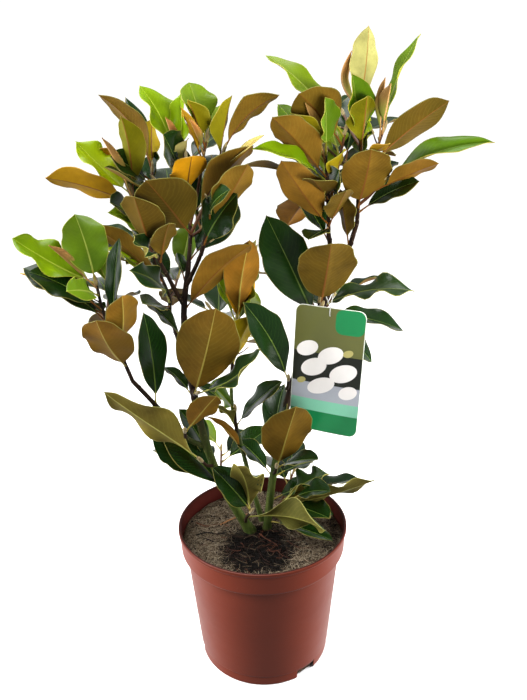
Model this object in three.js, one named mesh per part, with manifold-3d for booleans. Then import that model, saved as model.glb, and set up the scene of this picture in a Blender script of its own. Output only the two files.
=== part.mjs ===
// Young evergreen magnolia with several stems, growing in a plastic nursery pot.
// Millimetres and degrees, +Z up. The origin is the centre of the pot's flat underside.
// "toward" is a compass angle: 0 along +X, 90 along +Y. "lift" is the angle above level.

import * as THREE from 'three';
import { mergeVertices } from 'three/addons/utils/BufferGeometryUtils.js';
import Module from 'manifold-3d';

const wasm = await Module();
wasm.setup();

// ---------------------------------------------------------------- driving sizes

const GAP = 0.3; // clearance between neighbouring solids
const GOLDEN_ANGLE = 137.5; // turn from one leaf of a shoot to the next
const GOLDEN_FRACTION = 0.618;
const TINY_VOLUME = 1e-6; // an overlap smaller than this is rounding
const SEED = 11;

const POT = {
  height: 182,
  footRadius: 82.3, // narrow ring that the pot stands on
  footHeight: 13,
  wallFootRadius: 83.5, // outside of the tapering wall, at its foot
  wallTopRadius: 96.5, // and just under the collar
  collarHeight: 30,
  collarFootRadius: 102.3,
  collarTopRadius: 103.6,
  lipRadius: 105,
  lipHeight: 4,
  wall: 1.8,
  floor: 3,
  sides: 36,
};

const DRAIN_SLOT = { wide: 27, tall: 11, deep: 11, towards: [-52, 68, 188] };

const SOIL = { level: 166, edgeDrop: 3, edgeWidth: 14 };

const TAG = {
  wide: 82,
  tall: 148,
  thick: 0.9,
  corner: 9,
  cornerSteps: 3,
  holeRadius: 2.8,
  holeDrop: 12, // hole centre under the top edge
  centre: [75.5, -12, 386],
  pitch: -4,
  sway: 2,
  yaw: -24,
};

// Cord that runs through the tag's hole and over its top edge, and round a stem to a knot.
const TIE = {
  radius: 0.7,
  knotRadius: 1.6,
  overTop: 3.2, // height of the cord's middle over the tag's top edge
  stemShare: 0.93, // place on the stem that it goes round
  seat: 0.7, // clearance to the stem
  sides: 5,
  step: 4,
};

const STEM_SIDES = 6;
const TWIG_SIDES = 3;
const STEM_STEP = 22; // length of one straight facet of a stem
const BOUGH_STEP = 14;
const TWIG_STEP = 32;
const TWIG_SAG = 0.05; // of a twig's middle, as a share of its length

const LEAF = {
  petiole: 14, // bare stalk between twig and blade
  petioleRadius: 1.1,
  thick: 1.5,
  stations: [0.2, 0.52, 0.85], // places along the blade that carry a section
  peak: 1.14, // over 1 puts the widest place beyond the middle
};

// How much a leaf of each kind is folded up along its midrib, and how blunt its two ends are.
const KINDS = {
  mature: { fold: 0.16, baseBlunt: 0.85, tipBlunt: 0.55 },
  khaki: { fold: 0.2, baseBlunt: 0.9, tipBlunt: 0.65 },
  ochre: { fold: 0.16, baseBlunt: 0.85, tipBlunt: 0.6 },
  olive: { fold: 0.3, baseBlunt: 0.9, tipBlunt: 0.75 },
  fresh: { fold: 0.2, baseBlunt: 0.85, tipBlunt: 0.62 },
  lime: { fold: 0.3, baseBlunt: 0.9, tipBlunt: 0.7 },
  pale: { fold: 0.25, baseBlunt: 0.85, tipBlunt: 0.6 },
  rolled: { fold: 1.1, baseBlunt: 0.8, tipBlunt: 0.8 },
};

// ---------------------------------------------------------------- limbs

// Each limb is one tapering tube along a few chosen places, foot first. A stem starts under the
// soil and is cut off flat just over it. A bough starts inside the limb that bears it and is cut
// back to a seat on its bark.
const LIMBS = {
  trunk: {
    route: [[-14, 3.4, 160], [-50, -2, 240], [-72, -8, 330], [-83, -4, 440], [-75, 4, 511]],
    radii: [6.2, 2.8],
    flare: 4.2,
  },
  stem_middle: {
    route: [[0.4, 23.8, 160], [-18, 26, 242], [-33, 30, 314], [-35, 30, 352]],
    radii: [3.2, 2.2],
    flare: 2,
  },
  stem_right: {
    route: [[5.3, 7.6, 160], [14, 12, 235], [34, 20, 340], [60, 22, 418], [88, 18, 490]],
    radii: [5, 3.6],
    flare: 3,
  },
  bough_left: {
    route: [[-63, -5, 288], [-91, -14, 309], [-116, -22, 349], [-140, -30, 385]],
    radii: [3.2, 2.5],
  },
  bough_rear: {
    route: [[-76, -8, 360], [-89, 8, 405], [-102, 22, 449]],
    radii: [3, 2.3],
  },
  bough_front: {
    route: [[-82, -1, 462], [-90, -10, 483], [-96, -20, 502]],
    radii: [2.6, 2.1],
  },
  bough_fork: {
    route: [[-79, 0, 484], [-67, -6, 507], [-60, -11, 522]],
    radii: [2.5, 2.1],
  },
  bough_right_inner: {
    route: [[88, 18, 488], [82, 15, 514], [78, 12, 537]],
    radii: [3, 2.5],
  },
  bough_right_outer: {
    route: [[85, 18, 478], [99, 16, 513], [109, 14, 549]],
    radii: [3, 2.6],
  },
};

const FOOT_DEPTH = 6; // length of a stem under the soil, which is cut off flat
const FLARE_HEIGHT = 24; // height over which a stem's root flare dies away

// ---------------------------------------------------------------- foliage

// A mass is one shoot: a stem that carries on from a limb, leaves set by hand on it and on its
// twigs, and then, where "grown" asks for them, twigs that grow by rule towards that side.
// A leaf row is [kind, share of the way along the shoot, toward, lift, long, wide, turn, arch].
// "turn" rolls the leaf about its midrib, with its upper face to the sky at 0. "arch" bends the
// midrib, as a share of the length.
const MASSES = {
  foliage_left: {
    stem: [[-140, -30, 384], [-158, -36, 447], [-164, -36, 469], [-169, -32, 497]],
    leaves: [
      ['lime', 1, -170, 35, 92, 42, -30, -0.06],
      ['fresh', 0.97, 150, 75, 76, 46, -35, 0.06],
      ['rolled', 0.94, -145, 50, 68, 12, 30, 0],
      ['lime', 0.85, -105, 20, 62, 28, -50, 0.05],
      ['mature', 0.65, -170, 35, 84, 44, -30, 0.08],
      ['ochre', 0.6, 165, 25, 102, 38, 10, 0],
      ['mature', 0.52, 125, 10, 56, 32, 20, 0],
      ['mature', 0.3, 50, 80, 102, 32, -10, 0],
      ['mature', 0.2, -70, 55, 90, 42, 25, -0.05],
      ['mature', 0.1, -100, 50, 96, 50, 5, -0.06],
    ],
    grown: { twigs: 1, toward: 105, spread: 60 },
  },
  foliage_rear_left: {
    stem: [[-102, 22, 448], [-103, 28, 468], [-117, 36, 505], [-121, 38, 529]],
    leaves: [
      ['mature', 0.45, -160, 45, 106, 36, 35, 0.05],
      ['lime', 0.4, 160, 30, 92, 30, 5, 0.05],
      ['khaki', 0.2, -120, 40, 80, 36, -55, 0.1],
      ['mature', 0.12, -110, 20, 62, 32, -30, 0],
    ],
    twigs: [
      {
        share: 0.72, toward: -148, lift: 75, long: 76,
        leaves: [
          ['lime', 0.97, 170, 45, 82, 38, -25, -0.05],
          ['olive', 0.95, -90, 75, 86, 38, -25, 0.05],
          ['rolled', 0.9, -135, 65, 74, 12, -5, 0],
          ['ochre', 0.85, -170, 20, 96, 40, 45, 0.03],
          ['mature', 0.65, -110, 25, 60, 34, -55, 0],
          ['olive', 0.3, -120, 35, 70, 38, -55, 0.1],
        ],
      },
      {
        share: 0.9, toward: 75, lift: 78, long: 84,
        leaves: [
          ['mature', 1, -155, 58, 94, 38, 20, 0.12],
          ['olive', 0.95, 90, 70, 62, 32, -130, 0],
          ['ochre', 0.85, -175, 30, 76, 20, 30, 0.1],
          ['mature', 0.8, -130, 35, 64, 40, -55, 0.05],
        ],
      },
    ],
    grown: { twigs: 3, toward: 105, spread: 120 },
  },
  foliage_front_left: {
    stem: [[-96, -20, 501], [-104, -26, 522], [-110, -30, 538]],
    leaves: [
      ['mature', 0.9, -95, 50, 74, 44, -15, -0.04],
      ['khaki', 0.5, -110, 30, 50, 28, -55, 0],
      ['mature', 0.35, -70, 45, 70, 30, 20, 0],
    ],
  },
  foliage_top: {
    stem: [[-75, 4, 510], [-72, 8, 545], [-75, 10, 581], [-81, 8, 615]],
    leaves: [
      ['lime', 1, 165, 65, 84, 38, -25, 0.05],
      ['lime', 0.98, -70, 75, 70, 28, 115, -0.05],
      ['rolled', 0.96, -115, 70, 52, 12, -20, 0],
      ['pale', 0.93, -65, 50, 40, 24, 35, 0],
      ['mature', 0.9, -100, 40, 60, 38, -105, 0],
      ['ochre', 0.65, -75, 45, 64, 40, 15, 0],
      ['mature', 0.3, -115, 40, 100, 60, 30, -0.05],
    ],
    twigs: [
      {
        share: 0.37, toward: -20, lift: 75, long: 92,
        leaves: [
          ['fresh', 0.97, 135, 70, 62, 42, -5, 0.05],
          ['olive', 0.92, -110, 55, 56, 30, -20, 0],
          ['fresh', 0.88, 55, 60, 52, 32, -15, 0],
          ['rolled', 0.84, -100, 40, 56, 10, -45, 0],
          ['ochre', 0.78, -120, 60, 62, 18, -20, 0],
        ],
      },
      {
        share: 0.28, toward: -30, lift: 62, long: 98,
        leaves: [
          ['mature', 0.97, -5, 45, 80, 36, -30, 0.12],
          ['olive', 0.85, -35, 75, 70, 30, 10, 0],
          ['pale', 0.8, -25, 35, 64, 12, 40, 0],
          ['mature', 0.2, -25, 50, 104, 46, -15, 0.05],
        ],
      },
    ],
    grown: { twigs: 3, toward: 85, spread: 150 },
  },
  foliage_fork: {
    stem: [[-60, -11, 521], [-53, -20, 544], [-48, -26, 558], [-43, -28, 575]],
    leaves: [
      ['mature', 0.7, -65, 35, 62, 28, 70, 0.1],
      ['mature', 0.6, -40, 50, 82, 44, -10, -0.03],
      ['mature', 0.12, -40, 50, 76, 46, 85, 0.06],
    ],
  },
  foliage_trunk: {
    stem: [[-76, -8, 366], [-74, -22, 364], [-70, -31, 370]],
    leaves: [
      ['mature', 0.5, -55, 65, 128, 68, -30, -0.04],
      ['khaki', 0.9, -35, 40, 110, 34, 35, -0.1],
    ],
  },
  foliage_left_foot: {
    stem: [[-88, -13, 306], [-87, -24, 312], [-86, -33, 324]],
    leaves: [['mature', 0.9, -40, 50, 80, 36, -30, 0]],
  },
  foliage_middle: {
    stem: [[-35, 30, 351], [-30, 26, 406], [-25, 24, 440]],
    leaves: [
      ['mature', 0.97, -70, 65, 112, 42, 5, 0],
      ['pale', 0.93, 40, 70, 92, 32, -75, 0],
      ['lime', 0.9, 130, 55, 90, 32, 15, 0],
      ['ochre', 0.82, -45, 70, 92, 40, -10, 0.03],
      ['fresh', 0.78, 30, 65, 72, 36, 0, 0],
      ['olive', 0.3, -60, 55, 88, 38, 5, 0],
    ],
    grown: { twigs: 2, toward: 90, spread: 120 },
  },
  foliage_middle_low: {
    stem: [[-29, 27, 286], [-30, 16, 304], [-30, 8, 330]],
    leaves: [
      ['fresh', 1, -125, 50, 64, 34, -60, 0],
      ['mature', 0.5, -25, 50, 92, 36, 30, 0.05],
      ['khaki', 0.35, -120, 45, 80, 22, 0, 0.1],
    ],
  },
  foliage_right_middle: {
    stem: [[32, 19, 352], [33, 8, 360], [33, 0, 372]],
    leaves: [['mature', 0.9, -140, 60, 122, 42, -85, 0.05]],
  },
  foliage_right_upper: {
    stem: [[64, 21, 428], [66, 11, 443], [70, 3, 457]],
    leaves: [
      ['ochre', 1, -85, 60, 94, 64, 0, 0.03],
    ],
  },
  foliage_right_rear: {
    stem: [[62, 22, 422], [68, 34, 436], [72, 44, 452]],
    leaves: [
      ['mature', 0.4, 176, 65, 134, 55, -88, 0.04],
      ['khaki', 0.8, -12, 14, 112, 42, 15, 0.08],
      ['mature', 0.5, 5, -40, 92, 32, 40, 0.05],
    ],
    grown: { twigs: 2, toward: 80, spread: 110 },
  },
  foliage_right_low: {
    stem: [[15, 13, 240], [17, 1, 250], [18, -8, 262]],
    leaves: [
      ['mature', 1, -65, 65, 112, 60, -10, -0.05],
      ['mature', 0.85, -40, 30, 70, 32, 10, 0.05],
    ],
  },
  foliage_inner_crown: {
    stem: [[78, 12, 536], [76, 6, 574], [72, 0, 622]],
    leaves: [
      ['fresh', 0.97, -95, 60, 64, 34, -120, 0],
      ['rolled', 0.93, -145, 65, 62, 12, 0, 0],
      ['olive', 0.9, -150, 50, 66, 34, 0, 0.05],
      ['fresh', 0.88, 140, 45, 88, 34, -20, 0],
      ['mature', 0.75, -155, 45, 88, 46, 30, 0],
      ['lime', 0.7, -160, 25, 90, 26, -35, 0.08],
      ['mature', 0.5, -110, 25, 66, 36, -5, 0],
      ['mature', 0.16, -150, 50, 92, 48, 30, -0.06],
      ['khaki', 0.12, -75, 45, 62, 34, 20, 0],
      ['mature', 0.1, -115, 0, 62, 28, 0, 0],
    ],
    twigs: [
      {
        share: 0.4, toward: -20, lift: 78, long: 78,
        leaves: [
          ['fresh', 0.95, 160, 45, 116, 36, -25, 0.05],
          ['mature', 0.85, -155, 45, 72, 52, 45, 0.08],
          ['fresh', 0.7, 105, 50, 46, 34, 20, 0],
          ['olive', 0.35, -85, 45, 52, 30, 45, 0],
          ['mature', 0.2, -90, 30, 58, 30, 105, 0],
        ],
      },
    ],
    grown: { twigs: 3, toward: 78, spread: 95 },
  },
  foliage_outer_crown: {
    stem: [[109, 14, 548], [109, 10, 584], [109, 4, 625], [103, 0, 656]],
    leaves: [
      ['pale', 1, 0, 85, 84, 38, -60, -0.04],
      ['rolled', 0.96, -130, 80, 66, 12, -20, 0],
      ['fresh', 0.68, -120, 70, 74, 38, -110, 0],
      ['olive', 0.64, -95, 55, 66, 34, 40, 0],
      ['lime', 0.6, 75, 45, 50, 30, -40, 0],
      ['ochre', 0.55, -65, 25, 52, 20, 0, 0],
      ['mature', 0.14, -85, 55, 80, 52, 0, 0],
      ['mature', 0.1, -20, 30, 72, 40, 35, 0.05],
    ],
    twigs: [
      {
        share: 0.3, toward: -35, lift: 68, long: 68,
        leaves: [
          ['lime', 1, 15, 70, 96, 28, 0, 0.05],
          ['rolled', 0.95, -90, 60, 54, 14, 50, 0],
          ['rolled', 0.85, -95, 75, 62, 12, 55, 0],
          ['mature', 0.55, -10, 40, 94, 44, -45, 0.03],
        ],
      },
      {
        share: 0.18, toward: -28, lift: 45, long: 36,
        leaves: [
          ['lime', 1, -5, 20, 118, 38, 30, 0.08],
          ['mature', 0.7, -30, 25, 72, 36, -25, 0],
        ],
      },
    ],
    grown: { twigs: 3, toward: 105, spread: 110 },
  },
  foliage_low_left: {
    stem: [[-57, -4, 264], [-64, -16, 270], [-70, -22, 280]],
    leaves: [['khaki', 0.9, -162, 41, 144, 46, 55, 0.05]],
  },
  foliage_low_rear: {
    stem: [[-46, -1, 232], [-54, 12, 236], [-62, 24, 246]],
    leaves: [
      ['mature', 0.6, -175, 40, 98, 50, -50, 0.05],
      ['mature', 0.95, 160, 62, 86, 38, -10, 0.05],
    ],
    grown: { twigs: 2, toward: 110, spread: 100 },
  },
  foliage_low_front: {
    stem: [[-21, 3, 176], [-20, -10, 192], [-14, -18, 206]],
    leaves: [
      ['mature', 1, -145, 58, 92, 38, -65, 0.05],
      ['khaki', 0.95, -105, 65, 100, 38, -5, 0.05],
      ['khaki', 0.6, -30, 10, 108, 42, -70, 0.08],
    ],
  },
  foliage_low_right: {
    stem: [[7, 9, 182], [22, 4, 200], [34, -2, 210]],
    leaves: [
      ['khaki', 0.75, -5, 20, 118, 30, -55, -0.05],
      ['khaki', 0.65, 12, 30, 70, 38, -5, 0.1],
      ['fresh', 1, -30, 30, 62, 36, 10, 0.08],
      ['mature', 0.85, -42, 6, 66, 38, 0, 0],
    ],
    grown: { twigs: 1, toward: 70, spread: 40 },
  },
};

const SHOOT_RADII = [2.4, 1.6]; // of a mass's own stem, foot and tip
const TWIG_RADII = [1.9, 1.3];
const CROWN = { low: [-264, -165, 190], high: [252, 190, 742] };

// What a twig that grows by rule looks like.
const RULE = {
  share: [0.15, 0.8], // places on the shoot
  lift: [22, 50],
  long: [38, 60],
  leaves: 4,
  leafShare: [0.45, 1],
  open: [62, 26], // angle between twig and leaf, from the lowest leaf to the last
  leafLong: [98, 70],
  vigour: [0.9, 1.1], // spread of the leaf lengths
  slim: 0.44, // width over length
  arch: [-0.04, 0.08],
  jitter: 14,
  tries: 7,
  tryStep: 52,
  overTop: 30, // how far a leaf may stand above the shoot's tip
};

// ---------------------------------------------------------------- small helpers

const mix = (a, b, t) => a + (b - a) * t;
const point = (p) => new THREE.Vector3(...p);
const routeOf = (points) => new THREE.CatmullRomCurve3(points, false, 'catmullrom', 0.5);

// Repeatable random numbers from 0 to 1.
function randomFrom(seed) {
  let state = seed;
  return () => {
    state = (Math.imul(state, 1664525) + 1013904223) >>> 0;
    return state / 4294967296;
  };
}

function aim(toward, lift) {
  const a = THREE.MathUtils.degToRad(toward);
  const b = THREE.MathUtils.degToRad(lift);
  return new THREE.Vector3(Math.cos(a) * Math.cos(b), Math.sin(a) * Math.cos(b), Math.sin(b));
}

function solidOf(geometry) {
  const bare = geometry.index ? geometry.clone() : geometry;
  bare.deleteAttribute('normal');
  bare.deleteAttribute('uv');
  const merged = mergeVertices(bare, 1e-4);
  return new wasm.Manifold(new wasm.Mesh({
    numProp: 3,
    vertProperties: new Float32Array(merged.attributes.position.array),
    triVerts: new Uint32Array(merged.index.array),
  }));
}

function geometryOf(solid) {
  const { vertProperties, triVerts } = solid.getMesh();
  const geometry = new THREE.BufferGeometry();
  geometry.setAttribute('position', new THREE.BufferAttribute(new Float32Array(vertProperties), 3));
  geometry.setIndex(new THREE.BufferAttribute(new Uint32Array(triVerts), 1));
  geometry.computeVertexNormals();
  return geometry;
}

// Closed skin over a row of equal rings of points. A last ring of one point closes to a tip.
function skin(rings) {
  const positions = rings.flat().flatMap((p) => [p.x, p.y, p.z]);
  const starts = rings.map((_, i) => rings.slice(0, i).reduce((sum, ring) => sum + ring.length, 0));
  const sides = rings[0].length;
  const index = [];
  for (let i = 0; i + 1 < rings.length; i++) {
    const toTip = rings[i + 1].length === 1;
    for (let k = 0; k < sides; k++) {
      const here = starts[i] + k;
      const next = starts[i] + ((k + 1) % sides);
      if (toTip) {
        index.push(here, next, starts[i + 1]);
      } else {
        const above = starts[i + 1] + k;
        const aboveNext = starts[i + 1] + ((k + 1) % sides);
        index.push(here, next, aboveNext, here, aboveNext, above);
      }
    }
  }
  const last = rings.length - 1;
  for (let k = 1; k + 1 < sides; k++) {
    index.push(0, k + 1, k);
    if (rings[last].length > 1) index.push(starts[last], starts[last] + k, starts[last] + k + 1);
  }
  const geometry = new THREE.BufferGeometry();
  geometry.setAttribute('position', new THREE.Float32BufferAttribute(positions, 3));
  geometry.setIndex(index);
  return geometry;
}

// Tube of changing radius along a curve, closed by flat ends that can be pushed outwards.
function tube(curve, radiusAt, sides, step, extend = 0) {
  const steps = Math.max(2, Math.round(curve.getLength() / step));
  const frames = curve.computeFrenetFrames(steps, false);
  const rings = [];
  for (let i = 0; i <= steps; i++) {
    const centre = curve.getPoint(i / steps);
    const push = (i === steps ? extend : 0) - (i === 0 ? extend : 0);
    centre.addScaledVector(frames.tangents[i], push);
    const ring = [];
    for (let k = 0; k < sides; k++) {
      const angle = (k / sides) * 2 * Math.PI;
      const radius = radiusAt(i / steps);
      ring.push(centre.clone()
        .addScaledVector(frames.normals[i], radius * Math.cos(angle))
        .addScaledVector(frames.binormals[i], radius * Math.sin(angle)));
    }
    rings.push(ring);
  }
  return solidOf(skin(rings));
}

// ---------------------------------------------------------------- pot, soil, tag

function lathe(profile) {
  const points = profile.map(([r, z]) => new THREE.Vector2(r, z));
  return solidOf(new THREE.LatheGeometry(points, POT.sides).rotateX(Math.PI / 2));
}

const collarFoot = POT.height - POT.collarHeight;

function pot() {
  const { wall, floor, height, lipRadius, lipHeight } = POT;
  const body = lathe([
    [0, 0],
    [POT.footRadius, 0],
    [POT.footRadius, POT.footHeight],
    [POT.wallFootRadius, POT.footHeight + 0.5],
    [POT.wallTopRadius, collarFoot - 1],
    [POT.collarFootRadius, collarFoot],
    [POT.collarTopRadius, height - lipHeight - 1],
    [lipRadius, height - lipHeight],
    [lipRadius, height - 1],
    [lipRadius - 1, height],
    [POT.collarTopRadius - wall, height],
    [POT.collarFootRadius - wall, collarFoot + 1],
    [POT.wallTopRadius - wall, collarFoot - 2],
    [POT.footRadius - wall, floor],
    [0, floor],
  ]);
  const slots = DRAIN_SLOT.towards.map((toward) => {
    const slot = new THREE.BoxGeometry(DRAIN_SLOT.deep, DRAIN_SLOT.wide, 2 * DRAIN_SLOT.tall);
    slot.translate(POT.footRadius, 0, 0);
    slot.rotateZ(THREE.MathUtils.degToRad(toward));
    return solidOf(slot);
  });
  return slots.reduce((solid, slot) => solid.subtract(slot), body);
}

function soil() {
  const clear = POT.wall + GAP;
  return lathe([
    [0, POT.floor + GAP],
    [POT.footRadius - clear - 1, POT.floor + GAP],
    [POT.wallTopRadius - clear, collarFoot - 2],
    [POT.collarFootRadius - clear, collarFoot + 1.5],
    [POT.collarFootRadius - clear, SOIL.level - SOIL.edgeDrop],
    [POT.collarFootRadius - clear - SOIL.edgeWidth, SOIL.level],
    [0, SOIL.level],
  ]);
}

function tagShape() {
  const { wide, tall, corner } = TAG;
  const shape = new THREE.Shape();
  const corners = [[1, 1, 0], [-1, 1, 90], [-1, -1, 180], [1, -1, 270]];
  for (const [x, y, start] of corners) {
    const from = THREE.MathUtils.degToRad(start);
    shape.absarc(x * (wide / 2 - corner), y * (tall / 2 - corner), corner, from, from + Math.PI / 2, false);
  }
  const hole = new THREE.Path();
  hole.absarc(0, tall / 2 - TAG.holeDrop, TAG.holeRadius, 0, 2 * Math.PI, true);
  shape.holes.push(hole);
  return shape;
}

function tag() {
  const plate = new THREE.ExtrudeGeometry(tagShape(), {
    depth: TAG.thick,
    bevelEnabled: false,
    curveSegments: TAG.cornerSteps,
  });
  plate.translate(0, 0, -TAG.thick / 2);
  plate.rotateX(Math.PI / 2);
  return plate;
}

// Points of the cord, from the knot round the stem's left side, through the hole from behind,
// up over the tag's top edge and back along the stem's right side.
function tieRoute(tagPlace) {
  const { holeRadius, holeDrop, tall } = TAG;
  const onTag = (out, up) => (
    new THREE.Vector3(0, -out, tall / 2 - holeDrop + up).applyMatrix4(tagPlace)
  );
  const stem = LIMBS.stem_right;
  const middle = routeOf(stem.route.map(point)).getPoint(TIE.stemShare);
  const reach = mix(...stem.radii, TIE.stemShare) + TIE.radius + TIE.seat;
  const roundStem = (toward) => middle.clone().addScaledVector(aim(toward, 0), reach);
  const inHole = holeRadius - TIE.radius - GAP;
  return [
    roundStem(100),
    roundStem(150),
    roundStem(200),
    onTag(-6, inHole + 2),
    onTag(0, inHole),
    onTag(3, inHole + 3),
    onTag(2.5, holeDrop),
    onTag(0, holeDrop + TIE.overTop),
    roundStem(-15),
    roundStem(40),
    roundStem(96),
  ];
}

function tie(tagPlace) {
  const route = tieRoute(tagPlace);
  const knot = new THREE.IcosahedronGeometry(TIE.knotRadius, 1).translate(...route[0].toArray());
  return tube(routeOf(route), () => TIE.radius, TIE.sides, TIE.step).add(solidOf(knot));
}

// ---------------------------------------------------------------- limbs

function limbTube(limb, swell = 0) {
  const curve = routeOf(limb.route.map(point));
  const height = curve.getLength();
  const radiusAt = (t) => {
    const rise = Math.max(0, t * height - FOOT_DEPTH);
    const flare = (limb.flare ?? 0) * Math.exp(-3 * rise / FLARE_HEIGHT);
    return mix(limb.radii[0], limb.radii[1], t) + flare + swell;
  };
  const whole = tube(curve, radiusAt, STEM_SIDES, limb.flare ? STEM_STEP : BOUGH_STEP, swell);
  return whole.trimByPlane([0, 0, 1], SOIL.level + GAP - swell);
}

function largestPiece(solid) {
  const pieces = solid.decompose();
  return pieces.reduce((best, piece) => (piece.volume() > best.volume() ? piece : best));
}

// ---------------------------------------------------------------- leaves

function halfWidth(kind, wide, u) {
  const { baseBlunt, tipBlunt } = KINDS[kind];
  return (wide / 2) * Math.sin(Math.PI * u ** LEAF.peak) ** mix(baseBlunt, tipBlunt, u);
}

// Where a leaf stands: its root, its midrib's direction and the side its upper face looks to.
function leafFrame(root, along, turn) {
  const up = new THREE.Vector3(0, 0, 1).addScaledVector(along, -along.z).normalize();
  up.applyAxisAngle(along, THREE.MathUtils.degToRad(turn));
  return { root, along, up, across: along.clone().cross(up) };
}

// A thin closed blade with a lozenge section: two edges, a rib on top and one underneath.
// Without its stalk it starts at the blade's first section.
function leafSolid({ kind, frame, long, wide, arch }, swell = 0, withStalk = true) {
  const stalk = LEAF.petiole / long;
  const section = (t, half, thick) => {
    const fold = half > LEAF.petioleRadius ? KINDS[kind].fold * half : 0;
    const middle = frame.root.clone()
      .addScaledVector(frame.along, long * t)
      .addScaledVector(frame.up, arch * long * 4 * t * (1 - t));
    const edge = (side) => middle.clone()
      .addScaledVector(frame.across, side * (half + swell))
      .addScaledVector(frame.up, fold);
    const rib = (side) => middle.clone().addScaledVector(frame.up, side * (thick / 2 + swell));
    return [edge(1), rib(-1), edge(-1), rib(1)];
  };
  const petiole = [0, stalk].map((t) => section(t, LEAF.petioleRadius, 2 * LEAF.petioleRadius));
  const blade = LEAF.stations.map((u) => (
    section(mix(stalk, 1, u), halfWidth(kind, wide, u), LEAF.thick)
  ));
  const tip = [frame.root.clone().addScaledVector(frame.along, long + swell)];
  const rings = [...(withStalk ? petiole : []), ...blade, tip];
  return solidOf(skin(rings));
}

// ---------------------------------------------------------------- growth

function setLeaf([kind, share, toward, lift, long, wide, turn, arch], curve) {
  const frame = leafFrame(curve.getPoint(share), aim(toward, lift), turn);
  return { kind, frame, long, wide, arch };
}

function twigCurve(parent, share, toward, lift, long) {
  const foot = parent.getPoint(share);
  const along = aim(toward, lift);
  const middle = foot.clone().addScaledVector(along, long / 2);
  middle.z -= long * TWIG_SAG;
  return routeOf([foot, middle, foot.clone().addScaledVector(along, long)]);
}

// Leaves of one twig that grows by rule, each a golden angle round from the one below. Each has
// a few places to try, further and further round.
function ruleLeaves(curve, random) {
  const leaves = [];
  const start = random() * 360;
  for (let i = 0; i < RULE.leaves; i++) {
    const age = i / (RULE.leaves - 1);
    const share = mix(...RULE.leafShare, age);
    const around = start + i * GOLDEN_ANGLE + (random() - 0.5) * RULE.jitter;
    const open = mix(...RULE.open, age) + (random() - 0.5) * RULE.jitter;
    const long = mix(...RULE.leafLong, age) * mix(...RULE.vigour, random());
    const turn = (random() - 0.5) * 2 * RULE.jitter;
    const arch = mix(...RULE.arch, random());
    const leaf = { kind: age === 1 ? 'fresh' : 'mature', long, wide: RULE.slim * long, arch };
    const places = [];
    for (let k = 0; k < RULE.tries; k++) {
      const along = awayFrom(curve.getTangent(share), around + k * RULE.tryStep, open);
      places.push({ ...leaf, frame: leafFrame(curve.getPoint(share), along, turn) });
    }
    leaves.push(places);
  }
  return leaves;
}

// Direction that opens from an axis by one angle, at another angle round it.
function awayFrom(axis, around, open) {
  const side = new THREE.Vector3(0, 0, 1).cross(axis).normalize();
  side.applyAxisAngle(axis, THREE.MathUtils.degToRad(around));
  const angle = THREE.MathUtils.degToRad(open);
  return axis.clone().multiplyScalar(Math.cos(angle)).addScaledVector(side, Math.sin(angle));
}

function ruleTwigs(mass, curve, random) {
  const { twigs, toward, spread } = mass.grown ?? { twigs: 0 };
  const grown = [];
  for (let i = 0; i < twigs; i++) {
    const place = (i + 0.5) / twigs;
    const share = mix(...RULE.share, place);
    const sweep = (((i + 0.5) * GOLDEN_FRACTION) % 1) - 0.5;
    const lift = mix(...RULE.lift, place) + (random() - 0.5) * RULE.jitter;
    const route = twigCurve(curve, share, toward + spread * sweep, lift, mix(...RULE.long, random()));
    grown.push({ curve: route, leaves: ruleLeaves(route, random) });
  }
  return grown;
}

const tipOf = (leaf) => leaf.frame.root.clone().addScaledVector(leaf.frame.along, leaf.long);
const heartOf = (mass) => routeOf(mass.stem.map(point)).getPoint(1);

// A leaf that grew by rule keeps inside the crown and to its own mass's side of the neighbours.
function keepsItsSpace(leaf, name) {
  const tip = tipOf(leaf);
  const middle = leaf.frame.root.clone().lerp(tip, 0.5);
  const heart = heartOf(MASSES[name]);
  const inside = tip.toArray().every((v, k) => v > CROWN.low[k] && v < CROWN.high[k]);
  const own = middle.distanceTo(heart);
  return inside && tip.z < heart.z + RULE.overTop
    && Object.values(MASSES).every((mass) => own <= middle.distanceTo(heartOf(mass)));
}

function boxesMeet(a, b) {
  const p = a.boundingBox();
  const q = b.boundingBox();
  return [0, 1, 2].every((k) => p.min[k] < q.max[k] && q.min[k] < p.max[k]);
}

function touches(solid, others) {
  return others.some((other) => boxesMeet(solid, other) && solid.intersect(other).volume() > TINY_VOLUME);
}

function twigTube(curve, [foot, tip]) {
  return tube(curve, (t) => mix(foot, tip, t), TWIG_SIDES, TWIG_STEP);
}

// ---------------------------------------------------------------- the scene graph

const magnolia = new THREE.Group();

function addNode(name, geometry, color, roughness) {
  const material = new THREE.MeshStandardMaterial({ color, roughness, metalness: 0 });
  const mesh = new THREE.Mesh(geometry, material);
  mesh.name = name;
  magnolia.add(mesh);
  return mesh;
}

const COLOURS = {
  pot: 0x9a4a3c,
  soil: 0x7d705c,
  tag: 0x6f8f5a,
  tie: 0xf2f2ee,
  bark: 0x4a4a2a,
  leaves: [0x5b6b2c, 0x7a5a2c, 0x8a9a3a, 0x3f5a2a],
};

const potSolid = pot();
const soilSolid = soil();
addNode('pot', geometryOf(potSolid), COLOURS.pot, 0.45);
addNode('root_ball', geometryOf(soilSolid), COLOURS.soil, 0.95);

const tagMesh = addNode('tag', tag(), COLOURS.tag, 0.4);
tagMesh.position.set(...TAG.centre);
tagMesh.rotation.set(
  THREE.MathUtils.degToRad(TAG.pitch),
  THREE.MathUtils.degToRad(TAG.sway),
  THREE.MathUtils.degToRad(TAG.yaw),
  'ZYX',
);

tagMesh.updateMatrixWorld(true);
const tieSolid = tie(tagMesh.matrixWorld);
addNode('tag_tie', geometryOf(tieSolid), COLOURS.tie, 0.5);

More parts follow.
